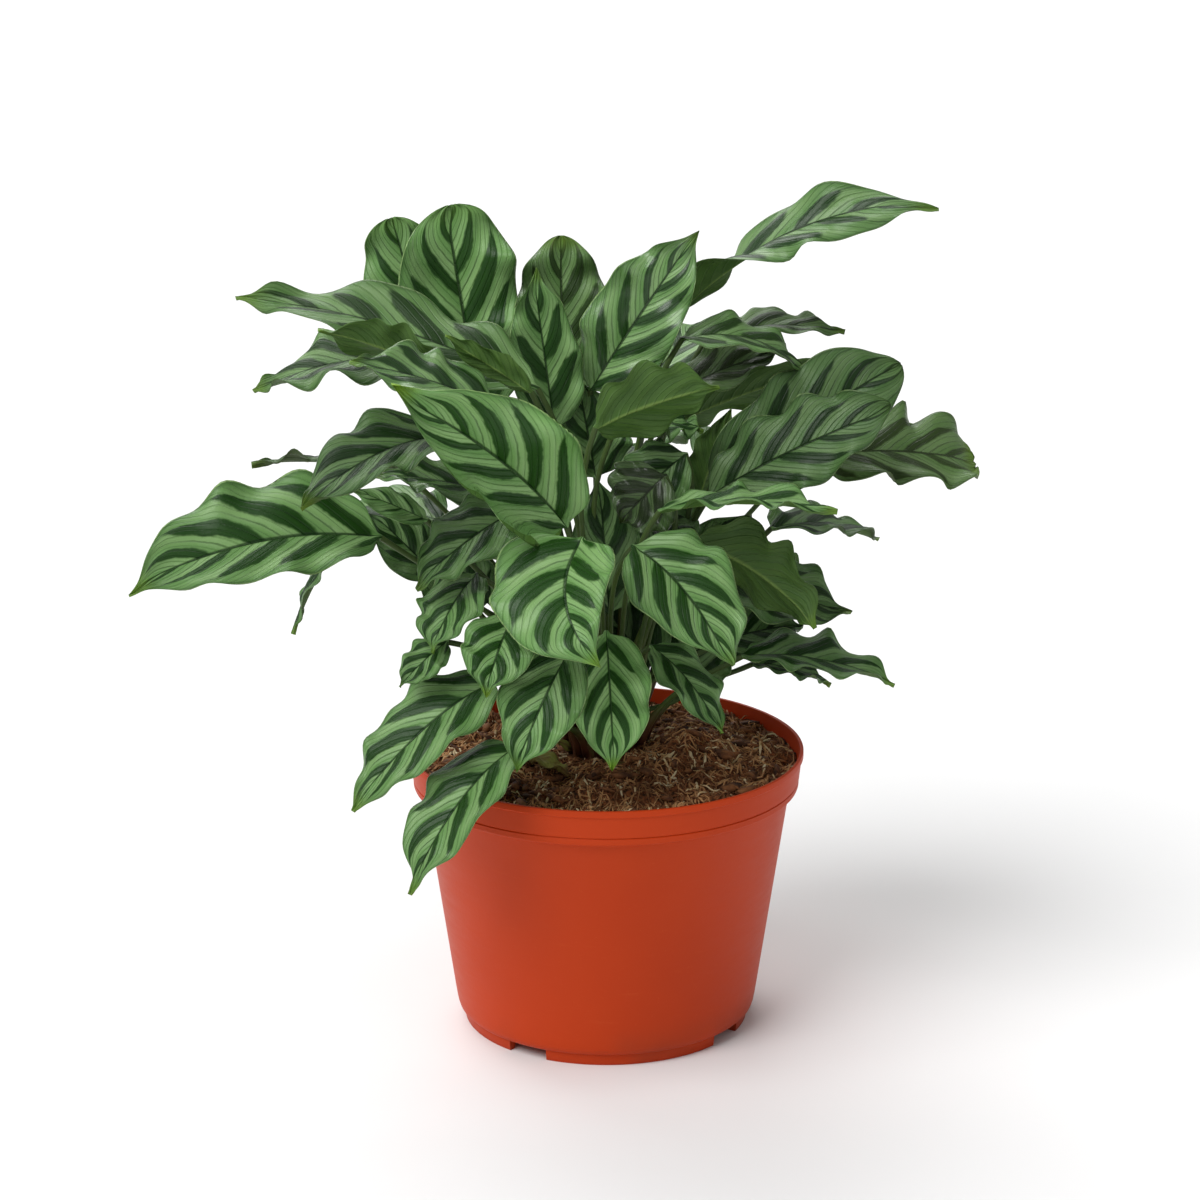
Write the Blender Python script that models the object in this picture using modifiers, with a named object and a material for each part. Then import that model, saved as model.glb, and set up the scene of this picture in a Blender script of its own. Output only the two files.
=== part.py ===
# A prayer plant with feather-striped leaves, growing in a plain plastic nursery pot.
#
# Frame: metres, +Z up. The origin is the middle of the pot's underside, -Y is the front.
# Every leaf is one solid: the blade and the stalk that carries it grew as one piece.

import math
from collections import namedtuple

import bmesh
import bpy
from mathutils import Quaternion, Vector

# ---------------------------------------------------------------- driving dimensions

# Pot
pot_height = 0.112
rim_radius = 0.078
rim_lip = 0.0026
lip_round = 0.0004
collar_height = 0.0145
collar_taper = 0.0020
collar_step = 0.0032
base_radius = 0.0600
base_corner = 0.0055
wall = 0.0015
floor_thickness = 0.0018
foot_height = 0.0045
foot_inset = 0.0030
foot_width = 0.0040
foot_gaps = 4
foot_gap_width = 0.0170
foot_gap_turn = -33.0
pad_radius = 0.0140
drain_holes = 6
drain_radius = 0.0045
drain_circle = 0.0300
drain_sides = 12
turned_steps = 48

# Potting soil
soil_gap = 0.0003
soil_below_rim = 0.0055
soil_mound = 0.0045
mound_radius = 0.0300

# Crown, where the stalks rise from the soil, as wide as its stalks need
crown_edge = 0.0030
crown_height = 0.0060
crown_above_soil = 0.0010
touch_gap = 0.0003

# Leaves: leaf_scale makes the whole plant larger or smaller, its stalks' thickness and spacing too
stalk_radius = 0.00115
stalk_room = 0.0037
stalk_crowding = 0.57
stalk_lean = 0.35
stalk_rise = 0.40
stalk_swing = 0.12
stalk_lead = 0.30
stalk_follow = 0.6
blade_thickness = 0.0009
blade_fold = 13.0
widest_share = 0.40
outline_fullness = 1.45
leaf_scale = 1.0
table_rim_radius = 0.078
low_leaf = 0.010
leaf_sides = 8
stalk_stations = (0.0, 0.28, 0.58, 0.86)
blade_stations = (0.0, 0.07, 0.22, 0.42, 0.64, 0.86, 1.0)

# One row for each leaf. Base, where stalk and blade meet, and tip are millimetres from the
# middle of the pot's rim. Then come the way the upper face looks, the width in millimetres,
# the rise of the midrib over the straight line at a third and at two thirds of its length,
# its sideways bow, all three as shares of the length, and the twist in degrees.
Leaf = namedtuple("Leaf", "name base tip face width arch bow twist")
leaf_rows = (
    # front
    ("leaf_front_hero", (-15, -50, 103), (-78, -92, 164), (-0.3, -0.9, 0.3), 48, (0.06, 0.05), 0.08, 0),
    ("leaf_front_heart", (-9, -72, 104), (-3, -114, 69), (-0.3, -0.52, 0.8), 48, (0.10, 0.06), 0.20, 0),
    ("leaf_front_low_bright", (-35, -62, 71), (-45, -88, 49), (-0.1, -0.7, 0.6), 29, (0.14, 0.05), 0.0, 0),
    ("leaf_front_over_rim", (-33, -62, 21), (-74, -95, -26), (-0.5, -0.6, 0.6), 35, (0.18, 0.10), 0.0, 0),
    ("leaf_front_low_left", (-14, -70, 60), (-34, -92, 21), (-0.2, -0.8, 0.4), 31, (0.14, 0.06), 0.0, 0),
    ("leaf_front_hanging", (0, -58, 64), (3, -78, 16), (0.0, -0.9, 0.4), 31, (0.14, 0.08), 0.0, 0),
    ("leaf_front_right_droop", (17, -46, 55), (44, -56, 24), (0.5, -0.6, 0.6), 24, (0.16, 0.08), 0.0, 0),
    ("leaf_withered", (-34, -14, 2), (-14, -36, 0), (0.0, 0.1, 1.0), 13, (0.10, 0.04), 0.0, 0),
    ("leaf_front_right", (10, -53, 96), (46, -81, 58), (0.3, -0.7, 0.6), 42, (0.14, 0.06), -0.05, 0),
    ("leaf_centre_underside", (-4, -46, 140), (42, -36, 154), (0.0, 0.9, 0.45), 32, (0.10, 0.04), 0.0, 0),
    ("leaf_centre_crinkled", (5, -20, 136), (37, -11, 131), (0.0, -0.4, 0.9), 22, (0.12, 0.04), 0.0, 0),
    # left
    ("leaf_left_long", (-86, -25, 92), (-179, -60, 81), (-0.1, -0.7, 0.7), 47, (0.12, 0.08), 0.06, 0),
    ("leaf_left_middle", (-54, -32, 133), (-112, -76, 116), (-0.3, -0.5, 0.8), 38, (0.16, 0.12), 0.03, 0),
    ("leaf_left_glossy", (-42, -53, 149), (-94, -60, 168), (0.0, -0.4, 0.9), 31, (0.10, 0.05), 0.0, 0),
    ("leaf_left_sheen", (-38, -5, 101), (-90, -10, 113), (-0.1, -0.3, 0.95), 31, (0.10, 0.06), 0.0, 0),
    ("leaf_left_dark", (-32, -36, 106), (-72, -58, 82), (-0.2, -0.6, 0.75), 31, (0.12, 0.06), 0.0, 0),
    ("leaf_left_small", (-49, -42, 82), (-66, -63, 58), (-0.4, -0.6, 0.7), 29, (0.14, 0.06), 0.0, 0),
    ("leaf_left_young", (-68, -33, 101), (-96, -36, 114), (0.0, -0.8, 0.5), 12, (0.10, 0.04), 0.0, 0),
    ("leaf_left_tiny", (-60, -50, 58), (-78, -58, 43), (-0.2, -0.7, 0.6), 17, (0.12, 0.04), 0.0, 0),
    ("leaf_left_low", (-42, -48, 42), (-96, -72, -1), (-0.4, -0.6, 0.7), 37, (0.16, 0.08), 0.0, 0),
    ("leaf_left_new", (-28, -43, 153), (-60, -45, 174), (0.2, 0.9, 0.3), 12, (0.06, 0.02), 0.0, 0),
    ("leaf_left_upper", (-26, -20, 149), (-141, 4, 177), (-0.2, -0.3, 0.93), 38, (0.08, 0.12), 0.0, 0),
    ("leaf_left_upper_under", (-62, -35, 159), (-107, -39, 176), (0.0, 0.8, 0.6), 24, (0.08, 0.04), 0.0, 0),
    ("leaf_left_back_low", (-68, 26, 149), (-138, 26, 137), (-0.2, -0.3, 0.93), 38, (0.14, 0.12), 0.0, 0),
    ("leaf_left_edge", (-80, 20, 107), (-139, 20, 110), (0.0, 0.3, 0.95), 26, (0.08, 0.05), 0.0, 0),
    ("leaf_left_hanging", (-92, 0, 90), (-123, 0, 46), (-0.9, -0.1, 0.5), 20, (0.20, 0.08), 0.0, 0),
    # standing at the back left and in the middle
    ("leaf_tall_left", (-50, 46, 123), (-63, 52, 206), (0.1, -0.98, 0.1), 48, (0.04, -0.02), 0.0, 0),
    ("leaf_tall_left_back", (-66, 62, 123), (-85, 68, 199), (-0.2, -0.95, 0.1), 36, (0.04, -0.02), 0.0, 0),
    ("leaf_centre_upright", (-20, 2, 128), (-28, 4, 190), (0.1, -0.95, 0.2), 28, (0.05, 0.0), 0.0, 0),
    ("leaf_centre_back", (-17, 48, 128), (-18, 60, 193), (0.0, -0.95, 0.2), 36, (0.05, 0.0), 0.0, 0),
    ("leaf_top_centre", (-6, 8, 142), (35, 5, 205), (-0.1, -0.9, 0.35), 37, (0.05, 0.02), 0.0, 0),
    ("leaf_top_right_long", (28, 32, 168), (127, 14, 214), (0.0, 0.0, 1.0), 32, (0.14, 0.14), 0.0, 80),
    # right
    ("leaf_right_arching", (29, 0, 164), (78, 8, 148), (0.3, -0.3, 0.9), 24, (0.22, 0.20), 0.0, 0),
    ("leaf_right_upper", (40, 42, 156), (94, 40, 158), (0.0, -0.2, 0.97), 24, (0.12, 0.08), 0.0, 0),
    ("leaf_right_olive", (24, 13, 138), (70, 14, 157), (0.0, -0.4, 0.9), 26, (0.08, 0.06), 0.0, 0),
    ("leaf_right_under", (23, 21, 124), (96, 31, 147), (0.0, 0.75, 0.66), 28, (0.08, 0.06), 0.0, 0),
    ("leaf_right_big_back", (40, -5, 106), (113, 5, 154), (-0.1, -0.9, 0.4), 40, (0.06, 0.05), 0.0, 0),
    ("leaf_right_big_front", (39, -17, 106), (108, -24, 142), (-0.1, -0.7, 0.7), 36, (0.08, 0.06), 0.0, 0),
    ("leaf_right_far", (78, 20, 112), (149, 40, 106), (0.0, -0.6, 0.8), 36, (0.12, 0.06), 0.0, 0),
    ("leaf_right_spear", (36, 10, 98), (48, 8, 135), (0.0, 0.95, 0.1), 17, (0.04, 0.0), 0.0, 0),
    ("leaf_right_dark_inner", (22, -32, 118), (5, -29, 99), (0.1, -0.8, 0.5), 24, (0.12, 0.04), 0.0, 0),
    ("leaf_right_level", (20, -46, 108), (86, -52, 109), (0.0, 0.05, 1.0), 29, (0.10, 0.06), 0.0, 0),
    ("leaf_right_arched_under", (33, -30, 92), (80, -47, 63), (0.3, 0.8, 0.5), 38, (0.16, 0.10), 0.0, 0),
    ("leaf_right_low_dark", (42, 4, 66), (96, 4, 52), (0.0, -0.5, 0.85), 36, (0.12, 0.06), 0.0, 0),
    ("leaf_right_low", (53, -10, 40), (113, -10, 30), (0.0, -0.2, 1.0), 32, (0.12, 0.06), 0.0, 0),
    ("leaf_right_low_back", (58, 18, 28), (90, 20, 20), (0.0, -0.2, 0.95), 22, (0.14, 0.04), 0.0, 0),
    # back, out of sight from the front
    ("leaf_back_low_left", (-36, 48, 62), (-80, 94, 44), (-0.3, 0.3, 0.9), 40, (0.14, 0.08), 0.0, 0),
    ("leaf_back_side_left", (-66, 44, 80), (-114, 76, 70), (-0.5, 0.2, 0.85), 38, (0.14, 0.08), 0.0, 0),
    ("leaf_back_low", (0, 58, 50), (4, 116, 30), (0.0, 0.4, 0.9), 42, (0.14, 0.08), 0.0, 0),
    ("leaf_back_low_right", (38, 48, 60), (84, 92, 42), (0.3, 0.3, 0.9), 40, (0.14, 0.08), 0.0, 0),
    ("leaf_back_side_right", (66, 40, 78), (112, 66, 66), (0.5, 0.2, 0.85), 36, (0.14, 0.08), 0.0, 0),
    ("leaf_back_middle_left", (-32, 54, 98), (-62, 108, 104), (-0.3, 0.5, 0.8), 42, (0.12, 0.08), 0.0, 0),
    ("leaf_back_middle", (6, 58, 98), (20, 120, 90), (0.0, 0.5, 0.85), 44, (0.14, 0.08), 0.0, 0),
    ("leaf_back_middle_right", (40, 48, 104), (88, 98, 102), (0.3, 0.5, 0.8), 42, (0.12, 0.08), 0.0, 0),
    ("leaf_back_high_left", (-34, 64, 137), (-50, 108, 152), (-0.3, 0.6, 0.7), 40, (0.10, 0.06), 0.0, 0),
    ("leaf_back_high_right", (20, 54, 138), (48, 106, 150), (0.3, 0.6, 0.7), 40, (0.10, 0.06), 0.0, 0),
    ("leaf_back_over_rim", (-14, 62, 18), (-26, 106, -14), (-0.2, 0.6, 0.7), 28, (0.20, 0.10), 0.0, 0),
)

leaves = [Leaf(*row) for row in leaf_rows]

# colour, roughness, metallic
finishes = {
    "terracotta_plastic": ((0.50, 0.075, 0.030), 0.42, 0.0),
    "peat_soil": ((0.045, 0.022, 0.012), 0.95, 0.0),
    "crown_sheath": ((0.18, 0.12, 0.05), 0.60, 0.0),
    "striped_leaf": ((0.070, 0.170, 0.065), 0.40, 0.0),
    "withered_leaf": ((0.360, 0.270, 0.080), 0.70, 0.0),
}

leaf_finishes = {"leaf_withered": "withered_leaf"}

# ---------------------------------------------------------------- scene and materials

for old in list(bpy.data.objects):
    bpy.data.objects.remove(old, do_unlink=True)

plant_parts = bpy.data.collections.new("potted_prayer_plant")
plant_cutters = bpy.data.collections.new("potted_prayer_plant_cutters")
bpy.context.scene.collection.children.link(plant_parts)
bpy.context.scene.collection.children.link(plant_cutters)


def material_named(name):
    """The Principled material of one finish, made the first time it is asked for."""
    found = bpy.data.materials.get(name)
    if found:
        return found
    colour, roughness, metallic = finishes[name]
    made = bpy.data.materials.new(name)
    made.use_nodes = True
    surface = made.node_tree.nodes["Principled BSDF"]
    surface.inputs["Base Color"].default_value = (*colour, 1.0)
    surface.inputs["Roughness"].default_value = roughness
    surface.inputs["Metallic"].default_value = metallic
    made.diffuse_color = (*colour, 1.0)
    return made


def add_part(name, bm, finish, place=(0.0, 0.0, 0.0)):
    """One visible sub-part from a bmesh, with smooth faces and sharp corners."""
    mesh = bpy.data.meshes.new(name)
    bm.to_mesh(mesh)
    bm.free()
    mesh.materials.append(material_named(finish))
    mesh.shade_smooth()
    mesh.set_sharp_from_angle(angle=math.radians(40.0))
    part = bpy.data.objects.new(name, mesh)
    part.location = place
    plant_parts.objects.link(part)
    return part


def turned(name, profile, finish, place=(0.0, 0.0, 0.0)):
    """A turned part: the profile's (radius, height) points spun about Z by a Screw modifier."""
    bm = bmesh.new()
    points = [bm.verts.new((radius, 0.0, height)) for radius, height in profile]
    for start, end in zip(points, points[1:]):
        bm.edges.new((start, end))
    part = add_part(name, bm, finish, place)
    spin = part.modifiers.new("Turn", "SCREW")
    spin.steps = turned_steps
    spin.render_steps = turned_steps
    spin.use_merge_vertices = True
    spin.merge_threshold = 0.00002
    spin.use_smooth_shade = True
    return part


def cut(part, cutter):
    """Take the cutter out of the part with a Boolean, and keep the cutter as a wire guide."""
    plant_cutters.objects.link(cutter)
    cutter.hide_render = True
    cutter.display_type = "WIRE"
    boolean = part.modifiers.new("Cut " + cutter.name, "BOOLEAN")
    boolean.operation = "DIFFERENCE"
    boolean.solver = "EXACT"
    boolean.object = cutter


# ---------------------------------------------------------------- pot and soil

wall_top = pot_height - collar_height
wall_top_radius = rim_radius - collar_taper - collar_step
corner_height = foot_height + base_corner
pot_floor = foot_height + floor_thickness
rim_plane = Vector((0.0, 0.0, pot_height))


def inner_radius(height):
    """The pot's inside radius at a height on its straight wall."""
    share = (height - corner_height) / (wall_top - corner_height)
    return base_radius + (wall_top_radius - base_radius) * share - wall


def make_pot():
    foot_outer = base_radius - foot_inset
    foot_inner = foot_outer - foot_width
    profile = (
        (0.0, pot_floor),
        (base_radius - wall - 0.0025, pot_floor),
        (inner_radius(corner_height), corner_height),
        (inner_radius(wall_top - 0.0012), wall_top - 0.0012),
        (rim_radius - collar_taper - wall, wall_top + 0.0008),
        (rim_radius - wall, pot_height - lip_round),
        (rim_radius - wall + lip_round, pot_height),
        (rim_radius - lip_round, pot_height),
        (rim_radius, pot_height - lip_round),
        (rim_radius, pot_height - rim_lip),
        (rim_radius - 0.0006, pot_height - rim_lip - lip_round),
        (rim_radius - collar_taper, wall_top + 0.0004),
        (rim_radius - collar_taper - 0.0006, wall_top),
        (wall_top_radius, wall_top),
        (base_radius, corner_height),
        (base_radius - 0.0008, foot_height + 0.0020),
        (foot_outer, foot_height),
        (foot_outer - 0.0004, 0.0),
        (foot_inner, 0.0),
        (foot_inner, foot_height),
        (pad_radius, foot_height),
        (pad_radius - 0.0005, 0.0),
        (0.0, 0.0),
    )
    pot = turned("pot", profile, "terracotta_plastic")

    # the four gaps that split the foot ring, each one running up into the base's corner
    for gap in range(foot_gaps):
        turn = math.radians(foot_gap_turn + gap * 360.0 / foot_gaps - 90.0)
        bm = bmesh.new()
        bmesh.ops.create_cube(bm, size=1.0)
        bmesh.ops.scale(bm, vec=(0.0160, foot_gap_width, foot_height + 0.0020), verts=bm.verts)
        mesh = bpy.data.meshes.new(f"foot_gap_{gap + 1}")
        bm.to_mesh(mesh)
        bm.free()
        cutter = bpy.data.objects.new(f"foot_gap_{gap + 1}", mesh)
        reach = foot_outer - 0.0035
        cutter.location = (reach * math.cos(turn), reach * math.sin(turn), foot_height / 2.0 - 0.0010)
        cutter.rotation_euler = (0.0, 0.0, turn)
        cut(pot, cutter)

    # drain holes through the floor, between the middle pad and the foot ring
    for hole in range(drain_holes):
        turn = math.radians(hole * 360.0 / drain_holes)
        bm = bmesh.new()
        bmesh.ops.create_cone(
            bm,
            cap_ends=True,
            segments=drain_sides,
            radius1=drain_radius,
            radius2=drain_radius,
            depth=floor_thickness * 4.0,
        )
        mesh = bpy.data.meshes.new(f"drain_{hole + 1}")
        bm.to_mesh(mesh)
        bm.free()
        cutter = bpy.data.objects.new(f"drain_{hole + 1}", mesh)
        cutter.location = (
            drain_circle * math.cos(turn),
            drain_circle * math.sin(turn),
            foot_height + floor_thickness / 2.0,
        )
        cut(pot, cutter)
    return pot


soil_edge = pot_height - soil_below_rim
soil_top = soil_edge + soil_mound
crown_base = soil_top + crown_above_soil - crown_height
grown_stalk_radius = stalk_radius * leaf_scale
grown_stalk_room = stalk_room * leaf_scale
grown_thickness = blade_thickness * leaf_scale
crown_reach = grown_stalk_room * math.sqrt(len(leaves)) * stalk_crowding
crown_radius = crown_reach + grown_stalk_radius + crown_edge


def make_soil():
    bottom = pot_floor + soil_gap
    collar_inner = rim_radius - collar_taper - wall
    slope = collar_taper / (collar_height - 0.0012)
    edge_radius = collar_inner + slope * (soil_edge - wall_top) - soil_gap * 1.5
    well = crown_radius + touch_gap
    well_floor = crown_base - touch_gap
    profile = (
        (0.0, well_floor),
        (well, well_floor),
        (well, soil_top),
        (mound_radius, soil_top),
        (mound_radius + 0.012, soil_top - soil_mound * 0.28),
        (edge_radius - 0.012, soil_edge + soil_mound * 0.12),
        (edge_radius, soil_edge),
        (collar_inner - soil_gap * 2.0, wall_top + 0.0014),
        (inner_radius(wall_top - 0.0012) - soil_gap * 1.2, wall_top - 0.0009),
        (inner_radius(corner_height) - soil_gap * 1.2, corner_height),
        (base_radius - wall - 0.0035, bottom),
        (0.0, bottom),
    )
    return turned("potting_soil", profile, "peat_soil")


def make_crown():
    profile = (
        (0.0, crown_height),
        (crown_radius - 0.0025, crown_height),
        (crown_radius - 0.0008, crown_height - 0.0014),
        (crown_radius, crown_height * 0.45),
        (crown_radius, 0.0),
        (0.0, 0.0),
    )
    return turned("crown", profile, "crown_sheath", (0.0, 0.0, crown_base))


# ---------------------------------------------------------------- leaves

foot_level = crown_base + crown_height + touch_gap


def from_rim(place):
    """A place of the leaf table, in metres in the part's frame.

    A low place outside the pot keeps its distance from the rim, whatever the rim's size.
    """
    spot = Vector(place) * 0.001 * leaf_scale
    across = Vector((spot.x, spot.y, 0.0))
    if spot.z < low_leaf and across.length > table_rim_radius * leaf_scale:
        spot += across.normalized() * (rim_radius - table_rim_radius * leaf_scale)
    return rim_plane + spot


def stalk_feet():
    """Where each stalk stands on the crown.

    A stalk that leans far stands near the crown's edge, on the side that its blade is on,
    so that stalks fan out and don't cross. Stalks that stand too close push each other apart.
    """
    feet = []
    for leaf in leaves:
        base = from_rim(leaf.base)
        away = Vector((base.x, base.y))
        lean = away.length / max(base.z - foot_level, 0.005)
        feet.append(away.normalized() * crown_reach * lean / (lean + stalk_lean))
    for _ in range(400):
        moved = False
        for first in range(len(feet)):
            for second in range(first):
                apart = feet[first] - feet[second]
                short = grown_stalk_room - apart.length
                if short > 0.00001:
                    push = apart.normalized() * short * 0.5
                    feet[first] += push
                    feet[second] -= push
                    moved = True
        for index, foot in enumerate(feet):
            if foot.length > crown_reach:
                feet[index] = foot.normalized() * crown_reach
        if not moved:
            break
    return [Vector((foot.x, foot.y, foot_level)) for foot in feet]


def along(p0, p1, p2, p3, share):
    """The point at a share of a cubic Bezier curve."""
    first = p0.lerp(p1, share)
    second = p1.lerp(p2, share)
    third = p2.lerp(p3, share)
    return first.lerp(second, share).lerp(second.lerp(third, share), share)


def half_width(share):
    """A blade's half width along its length, 1 where it is widest: round base, long point."""
    start = widest_share * outline_fullness
    end = (1.0 - widest_share) * outline_fullness
    most = widest_share ** start * (1.0 - widest_share) ** end
    return share ** start * (1.0 - share) ** end / most


def leaf_stations(leaf, foot):
    """Centre, side, upper normal and blade share at each station, foot to tip."""
    base = from_rim(leaf.base)
    tip = from_rim(leaf.tip)
    chord = tip - base
    way = chord.normalized()
    face = Vector(leaf.face)
    face = (face - way * face.dot(way)).normalized()
    sideways = way.cross(face) * chord.length * leaf.bow
    first = base + chord / 3.0 + face * chord.length * leaf.arch[0] + sideways
    second = base + chord * 2.0 / 3.0 + face * chord.length * leaf.arch[1] + sideways

    run = base - foot
    rise = Vector((run.x * stalk_swing, run.y * stalk_swing, run.length * stalk_rise))
    arrive = (run.normalized() + (first - base).normalized() * stalk_follow).normalized()
    lead = arrive * run.length * stalk_lead

    centres = []
    shares = []
    for share in stalk_stations:
        centres.append(along(foot, foot + rise, base - lead, base, share))
        shares.append(0.0)
    for share in blade_stations:
        centres.append(along(base, first, second, tip, share))
        shares.append(share)

    tangents = []
    for index in range(len(centres)):
        before = centres[max(index - 1, 0)]
        after = centres[min(index + 1, len(centres) - 1)]
        tangents.append((after - before).normalized())
    tangents[0] = Vector((0.0, 0.0, 1.0))

    # the upper normal is set in the middle of the blade and carried both ways without turning
    middle = len(stalk_stations) + len(blade_stations) // 2 - 1
    normals = [None] * len(centres)
    normals[middle] = (face - tangents[middle] * face.dot(tangents[middle])).normalized()
    for index in range(middle + 1, len(centres)):
        turn = tangents[index - 1].rotation_difference(tangents[index])
        normals[index] = turn @ normals[index - 1]
    for index in range(middle - 1, -1, -1):
        turn = tangents[index + 1].rotation_difference(tangents[index])
        normals[index] = turn @ normals[index + 1]

    stations = []
    for centre, tangent, normal, share in zip(centres, tangents, normals, shares):
        roll = Quaternion(tangent, math.radians(leaf.twist) * (share - 0.5))
        normal = roll @ normal
        stations.append((centre, tangent.cross(normal), normal, share))
    return stations


def leaf_ring(station, width):
    """The corners of a leaf's cross-section: round on the stalk, thin and folded on the blade."""
    centre, side, normal, share = station
    across = max(width * 0.0005 * leaf_scale * half_width(share), grown_stalk_radius)
    thick = grown_stalk_radius
    if share > 0.0:
        thick = grown_thickness / 2.0
    if share == 1.0:
        across = grown_thickness / 2.0
        thick = grown_thickness / 3.0
    rise = math.tan(math.radians(blade_fold)) if 0.0 < share < 1.0 else 0.0
    corners = []
    for corner in range(leaf_sides):
        turn = corner * 2.0 * math.pi / leaf_sides
        out = across * math.cos(turn)
        up = thick * math.sin(turn) + abs(out) * rise
        corners.append(centre + side * out + normal * up)
    return corners


def make_leaf(leaf, foot):
    """A leaf lofted from its stalk's foot to its tip, one extruded ring after another."""
    stations = leaf_stations(leaf, foot)
    bm = bmesh.new()
    bmesh.ops.create_circle(bm, cap_ends=True, segments=leaf_sides, radius=grown_stalk_radius)
    end = bm.faces[:][0]
    for corner, place in zip(end.verts, leaf_ring(stations[0], leaf.width)):
        corner.co = place
    for station in stations[1:]:
        end = bmesh.ops.extrude_discrete_faces(bm, faces=[end])["faces"][0]
        for corner, place in zip(end.verts, leaf_ring(station, leaf.width)):
            corner.co = place
    bmesh.ops.holes_fill(bm, edges=bm.edges, sides=leaf_sides)
    bmesh.ops.triangulate(bm, faces=bm.faces)
    bmesh.ops.recalc_face_normals(bm, faces=bm.faces)
    return add_part(leaf.name, bm, leaf_finishes.get(leaf.name, "striped_leaf"))


make_pot()
make_soil()
make_crown()
for grown_leaf, stalk_foot in zip(leaves, stalk_feet()):
    make_leaf(grown_leaf, stalk_foot)
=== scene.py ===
import random
from collections import namedtuple
from math import cos, exp, hypot, pi, radians, sin, sqrt, tan

import bmesh
import bpy
from mathutils import Matrix, Quaternion, Vector, noise


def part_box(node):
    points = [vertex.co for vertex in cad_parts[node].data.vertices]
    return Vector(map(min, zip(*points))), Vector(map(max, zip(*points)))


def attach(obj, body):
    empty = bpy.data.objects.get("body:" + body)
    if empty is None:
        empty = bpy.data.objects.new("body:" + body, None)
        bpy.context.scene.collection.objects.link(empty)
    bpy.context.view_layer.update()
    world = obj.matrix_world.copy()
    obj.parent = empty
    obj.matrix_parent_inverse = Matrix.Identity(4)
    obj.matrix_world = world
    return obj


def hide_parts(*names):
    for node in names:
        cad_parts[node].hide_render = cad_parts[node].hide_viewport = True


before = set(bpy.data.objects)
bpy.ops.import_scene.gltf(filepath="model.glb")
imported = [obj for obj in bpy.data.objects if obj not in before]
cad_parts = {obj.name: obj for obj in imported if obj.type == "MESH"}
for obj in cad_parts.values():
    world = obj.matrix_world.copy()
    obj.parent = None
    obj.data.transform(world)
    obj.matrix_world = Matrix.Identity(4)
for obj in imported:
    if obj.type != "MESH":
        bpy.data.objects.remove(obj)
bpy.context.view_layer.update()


# small helpers for materials

def plug(tree, value, socket):
    if isinstance(value, Wire):
        tree.links.new(value.socket, socket)
    else:
        socket.default_value = value


class Wire:
    # an output socket that can be used in sums
    def __init__(self, tree, socket):
        self.tree = tree
        self.socket = socket

    def sums(self, operation, *values):
        made = self.tree.nodes.new("ShaderNodeMath")
        made.operation = operation
        for value, socket in zip(values, made.inputs):
            plug(self.tree, value, socket)
        return Wire(self.tree, made.outputs[0])

    def __add__(self, other):
        return self.sums("ADD", self, other)

    def __radd__(self, other):
        return self.sums("ADD", other, self)

    def __sub__(self, other):
        return self.sums("SUBTRACT", self, other)

    def __rsub__(self, other):
        return self.sums("SUBTRACT", other, self)

    def __mul__(self, other):
        return self.sums("MULTIPLY", self, other)

    def __rmul__(self, other):
        return self.sums("MULTIPLY", other, self)

    def __truediv__(self, other):
        return self.sums("DIVIDE", self, other)

    def __rtruediv__(self, other):
        return self.sums("DIVIDE", other, self)

    def __pow__(self, other):
        return self.sums("POWER", self, other)

    def __abs__(self):
        return self.sums("ABSOLUTE", self)

    def most(self, other):
        return self.sums("MAXIMUM", self, other)

    def least(self, other):
        return self.sums("MINIMUM", self, other)

    def whole(self):
        return self.sums("FLOOR", self)

    def part(self):
        return self.sums("FRACT", self)


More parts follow.
